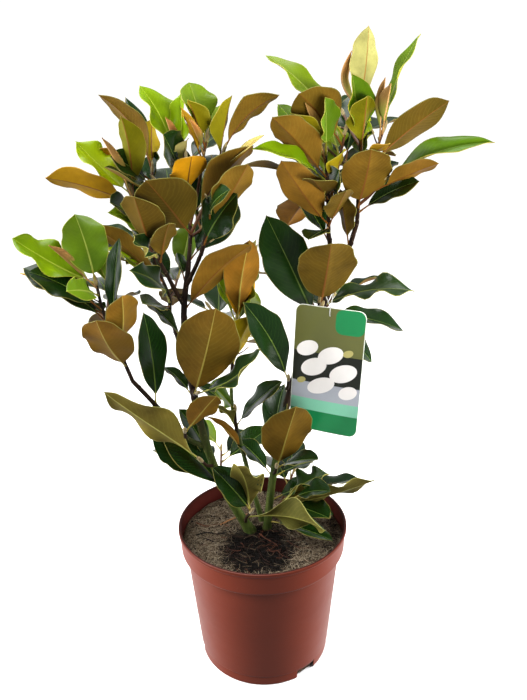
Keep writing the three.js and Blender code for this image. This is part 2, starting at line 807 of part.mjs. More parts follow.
// Limbs, each cut back from the ones before it.
const swollenLimbs = [];
const limbSolids = [];
for (const [name, limb] of Object.entries(LIMBS)) {
  const cut = swollenLimbs.reduce((solid, other) => solid.subtract(other), limbTube(limb));
  const solid = largestPiece(cut);
  limbSolids.push(solid);
  swollenLimbs.push(limbTube(limb, GAP));
  addNode(name, geometryOf(solid), COLOURS.bark, 0.7);
}

const tagSolid = solidOf(tagMesh.geometry.clone().applyMatrix4(tagMesh.matrixWorld));
const fixedSolids = [potSolid, soilSolid, tagSolid, tieSolid, ...limbSolids];
const grownSolids = {};

function othersThan(name) {
  const others = Object.keys(grownSolids).filter((key) => key !== name);
  return others.map((key) => grownSolids[key]);
}

function clearOfLimbs(solid) {
  return largestPiece(swollenLimbs.reduce((rest, limb) => rest.subtract(limb), solid));
}

// First every mass takes its stem, its set twigs and its set leaves.
for (const [name, mass] of Object.entries(MASSES)) {
  const curve = routeOf(mass.stem.map(point));
  const twigs = (mass.twigs ?? []).map((twig) => ({
    curve: twigCurve(curve, twig.share, twig.toward, twig.lift, twig.long),
    leaves: twig.leaves,
  }));
  grownSolids[name] = clearOfLimbs(twigs.reduce(
    (solid, twig) => solid.add(twigTube(twig.curve, TWIG_RADII)),
    twigTube(curve, SHOOT_RADII),
  ));
  for (const shoot of [{ curve, leaves: mass.leaves }, ...twigs]) {
    for (const leaf of shoot.leaves.map((row) => setLeaf(row, shoot.curve))) {
      if (!touches(leafSolid(leaf, GAP), [...fixedSolids, ...othersThan(name)])) {
        grownSolids[name] = grownSolids[name].add(leafSolid(leaf));
      }
    }
  }
}

// Then twigs grow by rule into the room that is left, each leaf in the first place that is free.
const random = randomFrom(SEED);
for (const [name, mass] of Object.entries(MASSES)) {
  for (const twig of ruleTwigs(mass, routeOf(mass.stem.map(point)), random)) {
    const wooden = twigTube(twig.curve, TWIG_RADII);
    if (touches(wooden, [...fixedSolids, ...othersThan(name)])) continue;
    grownSolids[name] = grownSolids[name].add(wooden);
    for (const places of twig.leaves) {
      const leaf = places.find((place) => keepsItsSpace(place, name)
        && !touches(leafSolid(place, GAP), [...fixedSolids, ...othersThan(name)])
        && !touches(leafSolid(place, GAP, false), [grownSolids[name]]));
      if (leaf) grownSolids[name] = grownSolids[name].add(leafSolid(leaf));
    }
  }
}

Object.entries(grownSolids).forEach(([name, solid], i) => {
  const colour = COLOURS.leaves[i % COLOURS.leaves.length];
  addNode(name, geometryOf(clearOfLimbs(solid)), colour, 0.5);
});

export default magnolia;
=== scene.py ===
import math
import random

import bmesh
import bpy
import numpy as np
from mathutils import Euler, Matrix, Quaternion, Vector, noise
from mathutils.bvhtree import BVHTree


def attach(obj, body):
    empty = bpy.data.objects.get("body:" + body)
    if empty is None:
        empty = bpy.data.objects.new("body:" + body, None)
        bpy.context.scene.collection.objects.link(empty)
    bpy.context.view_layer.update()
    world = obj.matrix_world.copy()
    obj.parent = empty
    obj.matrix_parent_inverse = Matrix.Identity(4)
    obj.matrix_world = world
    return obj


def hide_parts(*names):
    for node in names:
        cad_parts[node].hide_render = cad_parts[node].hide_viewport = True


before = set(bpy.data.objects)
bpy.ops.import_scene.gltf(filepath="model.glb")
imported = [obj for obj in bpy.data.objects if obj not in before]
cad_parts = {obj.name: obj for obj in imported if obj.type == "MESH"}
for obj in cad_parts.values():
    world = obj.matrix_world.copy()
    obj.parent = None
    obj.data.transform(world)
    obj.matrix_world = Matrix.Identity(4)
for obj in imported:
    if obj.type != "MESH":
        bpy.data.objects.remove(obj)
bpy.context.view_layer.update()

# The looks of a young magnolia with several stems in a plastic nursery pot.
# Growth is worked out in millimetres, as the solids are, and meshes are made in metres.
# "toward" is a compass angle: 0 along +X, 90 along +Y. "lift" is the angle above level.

MM = 0.001
FULL_TURN = 2 * math.pi

# ---------------------------------------------------------------- driving sizes, as in the solids

GOLDEN_ANGLE = 137.5  # turn from one leaf of a shoot to the next
GOLDEN_FRACTION = 0.618
SEED = 11

POT = dict(
    height=182, foot_radius=82.3, foot_height=13, wall_foot_radius=83.5, wall_top_radius=96.5,
    collar_height=30, collar_foot_radius=102.3, collar_top_radius=103.6,
    lip_radius=105, lip_height=4, wall=1.8, floor=3,
)
COLLAR_FOOT = POT["height"] - POT["collar_height"]
DRAIN_SLOT = dict(wide=27, tall=11, deep=11, towards=(-52, 68, 188), rounding=1.5)
SOIL = dict(level=166, edge_drop=3, edge_width=14)
TAG = dict(
    wide=82, tall=148, corner=9, hole_radius=2.8, hole_drop=12,
    centre=(75.5, -12, 386), pitch=-4, sway=2, yaw=-24,
)
TIE = dict(radius=0.7, knot_radius=1.6, over_top=3.2, stem_share=0.93, seat=0.7, gap=0.3)
SOIL_RADIUS = POT["collar_foot_radius"] - POT["wall"] - TIE["gap"]

LEAF = dict(petiole=14, petiole_radius=1.1, peak=1.14)

# How much a leaf of each kind is folded up along its midrib, and how blunt its two ends are.
KINDS = {
    "mature": dict(fold=0.16, base_blunt=0.85, tip_blunt=0.55),
    "khaki": dict(fold=0.2, base_blunt=0.9, tip_blunt=0.65),
    "ochre": dict(fold=0.16, base_blunt=0.85, tip_blunt=0.6),
    "olive": dict(fold=0.3, base_blunt=0.9, tip_blunt=0.75),
    "fresh": dict(fold=0.2, base_blunt=0.85, tip_blunt=0.62),
    "lime": dict(fold=0.3, base_blunt=0.9, tip_blunt=0.7),
    "pale": dict(fold=0.25, base_blunt=0.85, tip_blunt=0.6),
    "rolled": dict(fold=1.1, base_blunt=0.8, tip_blunt=0.8),
}
LEAF_STATIONS = (0.2, 0.52, 0.85)  # places along a solid leaf's blade that carry a section

# Each limb's route, its radii at foot and tip, its root flare and, if it isn't bark, its look.
LIMBS = {
    "trunk": dict(
        route=[(-14, 3.4, 160), (-50, -2, 240), (-72, -8, 330), (-83, -4, 440), (-75, 4, 511)],
        radii=(6.2, 2.8), flare=4.2,
    ),
    "stem_middle": dict(
        route=[(0.4, 23.8, 160), (-18, 26, 242), (-33, 30, 314), (-35, 30, 352)],
        radii=(3.2, 2.2), flare=2, look="green_wood",
    ),
    "stem_right": dict(
        route=[(5.3, 7.6, 160), (14, 12, 235), (34, 20, 340), (60, 22, 418), (88, 18, 490)],
        radii=(5, 3.6), flare=3,
    ),
    "bough_left": dict(
        route=[(-63, -5, 288), (-91, -14, 309), (-116, -22, 349), (-140, -30, 385)],
        radii=(3.2, 2.5),
    ),
    "bough_rear": dict(route=[(-76, -8, 360), (-89, 8, 405), (-102, 22, 449)], radii=(3, 2.3)),
    "bough_front": dict(
        route=[(-82, -1, 462), (-90, -10, 483), (-96, -20, 502)], radii=(2.6, 2.1),
    ),
    "bough_fork": dict(
        route=[(-79, 0, 484), (-67, -6, 507), (-60, -11, 522)], radii=(2.5, 2.1),
    ),
    "bough_right_inner": dict(
        route=[(88, 18, 488), (82, 15, 514), (78, 12, 537)], radii=(3, 2.5),
    ),
    "bough_right_outer": dict(
        route=[(85, 18, 478), (99, 16, 513), (109, 14, 549)], radii=(3, 2.6),
    ),
}
FOOT_DEPTH = 6  # length of a stem under the soil
FLARE_HEIGHT = 24  # height over which a stem's root flare dies away

# A mass is one shoot: its stem, its twigs as (share of the way along, toward, lift, long), and the
# twigs that then grow on it by rule, as (how many, toward, spread).
MASSES = {
    "foliage_left": dict(
        stem=[(-140, -30, 384), (-158, -36, 447), (-164, -36, 469), (-169, -32, 497)],
        grown=(1, 105, 60),
    ),
    "foliage_rear_left": dict(
        stem=[(-102, 22, 448), (-103, 28, 468), (-117, 36, 505), (-121, 38, 529)],
        twigs=[(0.72, -148, 75, 76), (0.9, 75, 78, 84)], grown=(3, 105, 120),
    ),
    "foliage_front_left": dict(stem=[(-96, -20, 501), (-104, -26, 522), (-110, -30, 538)]),
    "foliage_top": dict(
        stem=[(-75, 4, 510), (-72, 8, 545), (-75, 10, 581), (-81, 8, 615)],
        twigs=[(0.37, -20, 75, 92), (0.28, -30, 62, 98)], grown=(3, 85, 150),
    ),
    "foliage_fork": dict(stem=[(-60, -11, 521), (-53, -20, 544), (-48, -26, 558), (-43, -28, 575)]),
    "foliage_trunk": dict(stem=[(-76, -8, 366), (-74, -22, 364), (-70, -31, 370)]),
    "foliage_left_foot": dict(stem=[(-88, -13, 306), (-87, -24, 312), (-86, -33, 324)]),
    "foliage_middle": dict(
        stem=[(-35, 30, 351), (-30, 26, 406), (-25, 24, 440)], grown=(2, 90, 120),
    ),
    "foliage_middle_low": dict(stem=[(-29, 27, 286), (-30, 16, 304), (-30, 8, 330)]),
    "foliage_right_middle": dict(stem=[(32, 19, 352), (33, 8, 360), (33, 0, 372)]),
    "foliage_right_upper": dict(stem=[(64, 21, 428), (66, 11, 443), (70, 3, 457)]),
    "foliage_right_rear": dict(
        stem=[(62, 22, 422), (68, 34, 436), (72, 44, 452)], grown=(2, 80, 110),
    ),
    "foliage_right_low": dict(stem=[(15, 13, 240), (17, 1, 250), (18, -8, 262)]),
    "foliage_inner_crown": dict(
        stem=[(78, 12, 536), (76, 6, 574), (72, 0, 622)],
        twigs=[(0.4, -20, 78, 78)], grown=(3, 78, 95),
    ),
    "foliage_outer_crown": dict(
        stem=[(109, 14, 548), (109, 10, 584), (109, 4, 625), (103, 0, 656)],
        twigs=[(0.3, -35, 68, 68), (0.18, -28, 45, 36)], grown=(3, 105, 110),
    ),
    "foliage_low_left": dict(stem=[(-57, -4, 264), (-64, -16, 270), (-70, -22, 280)]),
    "foliage_low_rear": dict(
        stem=[(-46, -1, 232), (-54, 12, 236), (-62, 24, 246)], grown=(2, 110, 100),
    ),
    "foliage_low_front": dict(stem=[(-21, 3, 176), (-20, -10, 192), (-14, -18, 206)]),
    "foliage_low_right": dict(stem=[(7, 9, 182), (22, 4, 200), (34, -2, 210)], grown=(1, 70, 40)),
}

# Leaves whose colour is chosen, instead of dealt out by chance: a place in TONES.
DULL, PLAIN, TAWNY, DEEP, GOLDEN = (dict(tone=tone) for tone in range(5))

# Leaves that the solids have too, by the mass and the shoot that bears them: 0 is its stem, and 1
# and 2 are its twigs. A leaf is (kind, share of the way along the shoot, toward, lift, long, wide,
# turn, arch), and then what sets its fine shape or colour apart.
LEAVES = {
    ("foliage_left", 0): [
        ("lime", 1, -170, 35, 92, 42, -30, -0.06, dict(tone=0, round=0.6)),
        ("fresh", 0.97, 150, 75, 76, 46, -35, 0.06, dict(round=0.8)),
        ("rolled", 0.94, -145, 50, 68, 12, 30, 0),
        ("fresh", 0.85, -105, 20, 62, 28, -50, 0.05, DULL),
        ("mature", 0.65, -170, 35, 84, 44, -30, 0.08), ("ochre", 0.6, 165, 25, 102, 38, 10, 0),
        ("mature", 0.52, 125, 10, 56, 32, 20, 0), ("mature", 0.3, 50, 80, 102, 32, -10, 0),
        ("mature", 0.2, -70, 55, 90, 42, 25, -0.05, dict(round=0.5)),
        ("mature", 0.1, -100, 50, 96, 50, 5, -0.06, dict(tone=1, round=0.6)),
    ],
    ("foliage_rear_left", 0): [
        ("mature", 0.45, -160, 45, 106, 36, 35, 0.05), ("lime", 0.4, 160, 30, 92, 30, 5, 0.05),
        ("khaki", 0.2, -120, 40, 80, 36, -55, 0.1), ("mature", 0.12, -110, 20, 62, 32, -30, 0),
    ],
    ("foliage_rear_left", 1): [
        ("lime", 0.97, 170, 45, 82, 38, -25, -0.05, dict(round=0.5)),
        ("olive", 0.95, -90, 75, 86, 38, -25, 0.05, dict(tone=3, slim=0.85)),
        ("rolled", 0.9, -135, 65, 74, 12, -5, 0), ("ochre", 0.85, -170, 20, 96, 40, 45, 0.03, DULL),
        ("mature", 0.65, -110, 25, 60, 34, -55, 0), ("olive", 0.3, -120, 35, 70, 38, -55, 0.1),
    ],
    ("foliage_rear_left", 2): [
        ("mature", 1, -155, 58, 94, 38, 20, 0.12, DULL), ("olive", 0.95, 90, 70, 62, 32, -130, 0),
        ("ochre", 0.85, -175, 30, 76, 20, 30, 0.1), ("mature", 0.8, -130, 35, 64, 40, -55, 0.05),
    ],
    ("foliage_front_left", 0): [
        ("mature", 0.9, -95, 50, 74, 44, -15, -0.04, dict(tone=3, round=0.9)),
        ("khaki", 0.5, -110, 30, 50, 28, -55, 0), ("mature", 0.35, -70, 45, 70, 30, 20, 0, DEEP),
    ],
    ("foliage_top", 0): [
        ("lime", 1, 165, 65, 84, 38, -25, 0.05, dict(round=0.7)),
        ("lime", 0.98, -70, 75, 70, 28, 115, -0.05), ("rolled", 0.96, -115, 70, 52, 12, -20, 0),
        ("pale", 0.93, -65, 50, 40, 24, 35, 0), ("mature", 0.9, -100, 40, 60, 38, -105, 0),
        ("ochre", 0.65, -75, 45, 64, 40, 15, 0, dict(tone=4, round=0.5)),
        ("mature", 0.3, -115, 40, 100, 60, 30, -0.05, dict(tone=3, round=0.3)),
    ],
    ("foliage_top", 1): [
        ("fresh", 0.97, 135, 70, 62, 42, -5, 0.05), ("olive", 0.92, -110, 55, 56, 30, -20, 0),
        ("fresh", 0.88, 55, 60, 52, 32, -15, 0), ("rolled", 0.84, -100, 40, 56, 10, -45, 0),
        ("ochre", 0.78, -120, 60, 62, 18, -20, 0),
    ],
    ("foliage_top", 2): [
        ("mature", 0.97, -5, 45, 80, 36, -30, 0.12), ("olive", 0.85, -35, 75, 70, 30, 10, 0),
        ("pale", 0.8, -25, 35, 64, 12, 40, 0), ("mature", 0.2, -25, 50, 104, 46, -15, 0.05),
    ],
    ("foliage_fork", 0): [
        ("mature", 0.7, -65, 35, 62, 28, 70, 0.1),
        ("mature", 0.6, -40, 50, 82, 44, -10, -0.03, DULL),
        ("mature", 0.12, -40, 50, 76, 46, 85, 0.06),
    ],
    ("foliage_trunk", 0): [
        ("mature", 0.5, -55, 65, 128, 68, -30, -0.04, dict(tone=0, round=0.4)),
        ("khaki", 0.9, -35, 40, 110, 34, 35, -0.1, DEEP),
    ],
    ("foliage_left_foot", 0): [("mature", 0.9, -40, 50, 80, 36, -30, 0)],
    ("foliage_middle", 0): [
        ("mature", 0.97, -70, 65, 112, 42, 5, 0, TAWNY), ("pale", 0.93, 40, 70, 92, 32, -75, 0),
        ("lime", 0.9, 130, 55, 90, 32, 15, 0), ("ochre", 0.82, -45, 70, 92, 40, -10, 0.03, GOLDEN),
        ("fresh", 0.78, 30, 65, 72, 36, 0, 0), ("olive", 0.3, -60, 55, 88, 38, 5, 0),
    ],
    ("foliage_middle_low", 0): [
        ("fresh", 1, -125, 50, 64, 34, -60, 0, DEEP), ("mature", 0.5, -25, 50, 92, 36, 30, 0.05),
        ("khaki", 0.35, -120, 45, 80, 22, 0, 0.1),
    ],
    ("foliage_right_middle", 0): [("mature", 0.9, -140, 60, 122, 42, -85, 0.05)],
    ("foliage_right_upper", 0): [("mature", 1, -85, 60, 94, 64, 0, 0.03, dict(tone=3, round=0.8))],
    ("foliage_right_rear", 0): [
        ("mature", 0.4, 176, 65, 134, 55, -88, 0.04), ("khaki", 0.8, -12, 14, 112, 42, 15, 0.08),
        ("mature", 0.5, 5, -40, 92, 32, 40, 0.05),
    ],
    ("foliage_right_low", 0): [
        ("mature", 1, -65, 65, 112, 60, -10, -0.05, dict(tone=0, round=0.3)),
        ("mature", 0.85, -40, 30, 70, 32, 10, 0.05),
    ],
    ("foliage_inner_crown", 0): [
        ("fresh", 0.97, -95, 60, 64, 34, -120, 0, DULL), ("rolled", 0.93, -145, 65, 62, 12, 0, 0),
        ("olive", 0.9, -150, 50, 66, 34, 0, 0.05), ("fresh", 0.88, 140, 45, 88, 34, -20, 0),
        ("mature", 0.75, -155, 45, 88, 46, 30, 0), ("lime", 0.7, -160, 25, 90, 26, -35, 0.08, DULL),
        ("mature", 0.5, -110, 25, 66, 36, -5, 0, DEEP),
        ("mature", 0.16, -150, 50, 92, 48, 30, -0.06),
        ("mature", 0.12, -75, 45, 62, 34, 20, 0, DEEP), ("mature", 0.1, -115, 0, 62, 28, 0, 0),
    ],
    ("foliage_inner_crown", 1): [
        ("fresh", 0.95, 160, 45, 116, 36, -25, 0.05, dict(tone=2, slim=0.85)),
        ("mature", 0.85, -155, 45, 72, 52, 45, 0.08), ("fresh", 0.7, 105, 50, 46, 34, 20, 0),
        ("olive", 0.35, -85, 45, 52, 30, 45, 0), ("mature", 0.2, -90, 30, 58, 30, 105, 0),
    ],
    ("foliage_outer_crown", 0): [
        ("pale", 1, 0, 85, 84, 38, -60, -0.04, dict(slim=0.88)),
        ("rolled", 0.96, -130, 80, 66, 12, -20, 0, dict(sickle=0.3)),
        ("olive", 0.68, -120, 70, 74, 38, -110, 0, DULL),
        ("olive", 0.64, -95, 55, 66, 34, 40, 0, DEEP), ("lime", 0.6, 75, 45, 50, 30, -40, 0),
        ("ochre", 0.55, -65, 25, 52, 20, 0, 0),
        ("mature", 0.14, -85, 55, 80, 52, 0, 0, dict(tone=0, round=0.8)),
        ("mature", 0.1, -20, 30, 72, 40, 35, 0.05),
    ],
    ("foliage_outer_crown", 1): [
        ("fresh", 1, 15, 70, 96, 28, 0, 0.05, dict(tone=0, slim=0.8)),
        ("rolled", 0.95, -90, 60, 54, 14, 50, 0, DEEP),
        ("rolled", 0.85, -95, 75, 62, 12, 55, 0, DULL),
        ("mature", 0.55, -10, 40, 94, 44, -45, 0.03, DEEP),
    ],
    ("foliage_outer_crown", 2): [
        ("olive", 1, -5, 20, 118, 38, 30, 0.08, dict(tone=0, slim=0.75)),
        ("mature", 0.7, -30, 25, 72, 36, -25, 0),
    ],
    ("foliage_low_left", 0): [
        ("khaki", 0.9, -162, 41, 144, 46, 55, 0.05, dict(tone=2, tip=0.1, right=(1.9, 0.3, 0.34))),
    ],
    ("foliage_low_rear", 0): [
        ("mature", 0.6, -175, 40, 98, 50, -50, 0.05), ("mature", 0.95, 160, 62, 86, 38, -10, 0.05),
    ],
    ("foliage_low_front", 0): [
        ("mature", 1, -145, 58, 92, 38, -65, 0.05), ("khaki", 0.95, -105, 65, 100, 38, -5, 0.05),
        ("khaki", 0.6, -30, 10, 108, 42, -70, 0.08, dict(tone=0, left=(1.8, 0.2, 0.4))),
    ],
    ("foliage_low_right", 0): [
        ("khaki", 0.75, -5, 20, 118, 30, -55, -0.05), ("khaki", 0.65, 12, 30, 70, 38, -5, 0.1),
        ("mature", 1, -30, 30, 62, 36, 10, 0.08, PLAIN), ("mature", 0.85, -42, 6, 66, 38, 0, 0),
    ],
}

# Further leaves that the solids leave out, by the limb or mass and the shoot that bears them.
MORE_LEAVES = {
    ("bough_left", 0): [("mature", 0.7, -100, 85, 112, 40, -120, 0.04)],
    ("trunk", 0): [
        ("mature", 0.7, 160, 45, 68, 30, 5, 0.04), ("mature", 0.55, 150, 40, 54, 26, 10, 0.05),
        ("mature", 0.2, 170, 45, 108, 52, -20, 0.05), ("mature", 1, 25, 45, 84, 56, 25, 0),
        ("mature", 0.9, 130, 70, 38, 26, 30, 0), ("mature", 0.8, -20, 45, 114, 46, -35, 0.05),
    ],
    ("stem_middle", 0): [
        ("mature", 0.75, 155, 25, 50, 30, 0, 0), ("mature", 0.4, -165, 55, 78, 26, 30, 0.08),
    ],
    ("stem_right", 0): [
        ("mature", 0.3, 65, 75, 100, 46, -30, 0.04), ("mature", 0.25, 150, 40, 66, 36, 5, 0.05),
        ("mature", 0.25, 25, 10, 58, 32, -5, 0.05), ("mature", 0.15, 15, 10, 80, 40, 0, 0.06),
        ("khaki", 0.1, -10, 25, 78, 34, -65, 0.05), ("mature", 0.1, 5, -6, 84, 38, 5, 0.05),
        ("mature", 0.05, -30, 2, 90, 34, -10, 0.04),
    ],
    ("bough_right_outer", 0): [("mature", 0.6, -155, 80, 66, 36, 0, 0, DEEP)],
    ("bough_right_inner", 0): [("mature", 0.75, 140, 55, 70, 40, -5, 0)],
    ("foliage_left", 0): [("mature", 0.4, 170, 35, 106, 50, -15, 0.08)],
    ("foliage_rear_left", 1): [("mature", 0.6, 140, 65, 86, 40, 15, 0.05)],
    ("foliage_rear_left", 2): [
        ("mature", 0.75, 95, 55, 50, 36, -45, 0), ("mature", 1, 135, 65, 86, 36, 25, 0),
    ],
    ("foliage_middle", 0): [
        ("olive", 0.25, -40, 65, 72, 40, -10, 0), ("pale", 1, 25, 75, 92, 26, 10, 0),
    ],
    ("foliage_outer_crown", 0): [("fresh", 0.55, 70, 45, 46, 30, -40, 0)],
    ("foliage_inner_crown", 0): [
        ("fresh", 0.6, 100, 60, 66, 44, 35, 0), ("mature", 0.45, 55, 50, 46, 30, -20, 0),
    ],
}

SHOOT_RADII = (2.4, 1.6)  # of a mass's own stem, foot and tip
TWIG_RADII = (1.9, 1.3)
TWIG_SAG = 0.05

# What a twig that grows by rule looks like.
RULE = dict(
    share=(0.15, 0.8), lift=(22, 50), long=(38, 60),
    leaves=4, leaf_share=(0.45, 1), open=(62, 26), leaf_long=(98, 70), vigour=(0.9, 1.1),
    slim=0.44, arch=(-0.04, 0.08), jitter=14, tries=7, try_step=52,
)

# ---------------------------------------------------------------- sizes of the fine detail

# A fine leaf: its thickness, how many rows of points it has and where its columns lie between
# midrib and edge, the length of its drawn-out point, how its outline and edges wave, how far it is
# folded, how its tip droops, its sideways bend and twist, and how a rolled one is rolled.
BLADE = dict(
    thick=0.6, rows=27, columns=(0, 0.06, 0.2, 0.4, 0.6, 0.8, 0.972, 1), point=0.045,
    uneven=0.045, beat=(9, 14), second_beat=0.7,
    wave=0.11, depth=(0.5, 1.3), waves=(1.2, 2.8), wave_ends=0.6, wave_edge=2.5,
    fold=(1.0, 1.9), arc=(0.9, 1.9), droop=0.03, sickle=(-0.02, 0.02), twist=(-9, 9), roll=2.3,
)
WAVY = {"khaki": 3.4, "lime": 2.2, "fresh": 1.8, "olive": 1.5, "ochre": 1.4}  # more than the rest
SLIMMER = {"rolled": 0.66}  # kinds that are slimmer than in the solids
# Its midrib: half the width at the leaf's base and tip, how far it stands out underneath and sinks
# in above, the most of the leaf's width that it takes, and how much of its relief the tip lacks.
RIB = dict(foot=1.05, tip=0.2, proud=0.6, groove=0.3, most=0.5, fade=0.7)
# Its stalk: the places that it passes, as shares of its length, and how it thins from its foot.
STALK = dict(ends=(0.6, 1.25), foot=1.25, thins=0.5, within=1.6, sides=8, step=2.5)
NEAR = 1.3  # a solid's leaf counts as this one when it is no further away
VEINS = dict(count=16, slant=0.3, curve=0.5, sharp=7.0, wander=0.1, fade=(0.97, 0.84))
SPUR = dict(
    count=2, least=50, place=(0.3, 0.8), long=(8, 17), sag=0.08, radii=(0.9, 0.6), open=(38, 62),
    bud=4, sides=7, step=2,
)
# The shape of a bulge is the part of a sine's half wave that it takes, its power and least radius.
BUD = dict(long=11, sink=2, swell=1.5, bulge=(0.25, 0.74, 0.8, 0.12), sides=10, step=0.8)
AXIL_BUD = dict(
    long=4.6, radius=0.95, sink=0.8, lean=0.5, bulge=(0.3, 0.69, 0.8, 0.1), sides=7, step=1,
)
KNOT = dict(bulge=(0, 1, 0.6, 0.1), sides=12, step=0.25)
HIGH = 440  # leaves that grow over this height have dark stalks, and dark midribs underneath
DARK_RIBBED = ("mature", "ochre", "olive")

# Bark has a root flare with lobes, a grainy relief, and rings with scars where leaves once grew.
BARK = dict(
    sides=20, step=1.6, flare_share=0.45, flare_fade=3, lobes=3, lobe_depth=0.35,
    relief=0.05, grain=(3, 3, 9), fractal=(0.6, 2.0, 4),
    scar_step=27, scar_height=0.6, scar_width=1.2, scar_back=0.4, phase=1.7,
)
TWIG = dict(sides=8, step=4, node_height=0.35, node_step=14, node_width=1.4, phase=0.37)

POT_SIDES = 192
# The soil's top: how wide and high its mounds and clods are, and how far all of it is lowered.
ROUGH = dict(mound=26, mound_height=1.6, clod=7, clod_height=1.1, fractal=(0.8, 2.1, 4), sink=1.4)
GROUND = dict(rings=84, sides=264, crowding=0.8)
LOOSE_EDGE = 3  # how far loose stuff stays from the soil's edge
# The wet patch of soil before the trunk, and the loose stuff on top.
WET = dict(centre=(-7, -36), wide=52, long=56, reach=0.85)
FIBRES = dict(
    count=6200, long=(6, 24), radius=(0.13, 0.3), steps=5, turn=(-30, 30), lift=(0.0, 1.2),
    edge=1.5, dark=0.22, left_out=0.7, thin=(1.15, 0.6), sides=3,
)
LOOPS = dict(
    count=170, spread=(0.5, 0.45), places=5, long=(8, 22), turn=(-0.4, 0.4),
    radius=(0.18, 0.42), height=(0.4, 2.2),
    looks=["fibre_dark", "fibre_dark", "fibre_dry", "root_dark", "root_strand"],
)
ROOT = dict(thin=(1.1, 0.5), sides=7, step=1.5)
CRUMBS = dict(
    count=1500, size=(0.7, 2.4), flat=((0.4, 0.9), (0.3, 0.6)), uneven=(0.75, 1.2), lift=0.2,
    dark=0.5,
)
CRUMB_CORNERS = [(1, 0, 0), (-1, 0, 0), (0, 1, 0), (0, -1, 0), (0, 0, 1), (0, 0, -1)]
CRUMB_FACES = [
    (0, 2, 4), (2, 1, 4), (1, 3, 4), (3, 0, 4), (2, 0, 5), (1, 2, 5), (3, 1, 5), (0, 3, 5),
]
# Longer roots and strands on the soil: look, radius, places, height.
ROOTS = [
    ("root_strand", 0.9, [(-4, -6), (3, -15), (14, -26), (18, -34)], 1.6),
    ("root_tan", 0.9, [(-54, 16), (-38, 27), (-20, 38)], 1.4),
    ("root_strand", 0.8, [(-86, 20), (-72, 14), (-58, 18), (-42, 12)], 1.2),
    ("fibre_dark", 0.9, [(-84, -6), (-70, -1), (-56, -5), (-42, 0)], 1.2),
    ("fibre_dark", 0.8, [(-60, -20), (-72, -14), (-84, -22)], 0.8),
    ("fibre_dark", 0.6, [(-8, -62), (6, -70), (24, -66), (34, -56)], 0.7),
    ("root_strand", 0.6, [(30, -20), (44, -34), (60, -34)], 0.8),
]

CORD = dict(share=0.7, sides=10, step=1)  # share: of the solid cord's radius
CARD = dict(
    thick=0.45, bow=1.6, curl=1.2, rings=12, rows=60, columns=12, corner_steps=8, hole_sides=32,
)
# Print of the tag, from the back layer to the front one. A field is its left, right, low and high
# edge and the reach of its corners, and an oval is its place, width, height and turn.
PRINT_LAYERS = dict(first=0.05, step=0.03)
PRINT = [
    ("print_green", "field", (-40.3, 40.3, -73.3, 73.3, 8.4)),
    ("print_olive", "field", (-40.3, 40.3, 4, 73.3, 8.4)),
    ("print_dark", "field", (-40.3, 40.3, -34, 20, 0.3)),
    ("print_grey", "field", (-40.3, 40.3, -36, -16, 0.3)),
    ("print_mint", "field", (-40.3, 40.3, -50, -36, 0.3)),
    ("print_green", "field", (7, 40.3, 45, 73.3, 8.4)),
    ("print_pale", "oval", (-24, 24, 27, 17, 24)), ("print_pale", "oval", (4, 19, 31, 19, 24)),
    ("print_pale", "oval", (-15, 3, 32, 20, 24)), ("print_pale", "oval", (20, 0, 33, 20, 24)),
    ("print_pale", "oval", (-5, -18, 34, 18, 24)), ("print_pale", "oval", (27, -22, 22, 15, 24)),
    ("print_cream", "oval", (24, 24, 12, 8, 24)), ("print_cream", "oval", (-29, -15, 11, 7, 24)),
]

# ---------------------------------------------------------------- colours, as sRGB from 0 to 255

# Of each kind of leaf: upper face, underside, midrib from above and from below, and margin, whose
# pale colour is painted light shining through the leaf's edge.
LEAF_COLOURS = {
    "mature": ((16, 39, 8), (116, 82, 24), (78, 98, 34), (160, 144, 62), (116, 108, 46)),
    "khaki": ((26, 48, 18), (106, 96, 42), (120, 132, 56), (180, 176, 86), (168, 164, 88)),
    "ochre": ((50, 74, 12), (162, 116, 18), (132, 132, 44), (150, 104, 26), (186, 146, 54)),
    "olive": ((78, 104, 8), (130, 114, 12), (120, 130, 44), (140, 120, 26), (150, 138, 44)),
    "fresh": ((88, 110, 16), (136, 128, 24), (138, 150, 60), (136, 128, 34), (150, 150, 54)),
    "lime": ((116, 138, 6), (146, 150, 16), (156, 172, 52), (146, 146, 34), (158, 166, 44)),
    "pale": ((174, 162, 98), (166, 154, 90), (140, 108, 48), (140, 108, 48), (166, 152, 86)),
    "rolled": ((150, 108, 62), (142, 98, 52), (168, 126, 74), (168, 126, 74), (166, 124, 70)),
}
ROLLED_FOOT = (112, 118, 46)
DARK_RIB = (112, 68, 22)
# Roughness of the upper faces that shine, and the gloss of the dark green ones.
GLOSSY = {"mature": 0.24, "khaki": 0.3, "ochre": 0.32, "olive": 0.34, "fresh": 0.32, "lime": 0.3}
GLOSS = {"mature": 0.3, "khaki": 0.3}
# How red, green and blue leaves of one kind come out: dark olive, plain, tawny, deep and golden.
TONES = ((0.74, 0.82, 0.8), (1, 1, 1), (1.22, 1.1, 0.95), (0.5, 0.6, 0.6), (1.7, 1.5, 1.0))
COMMON_TONES = 3  # the first of them are dealt out by chance

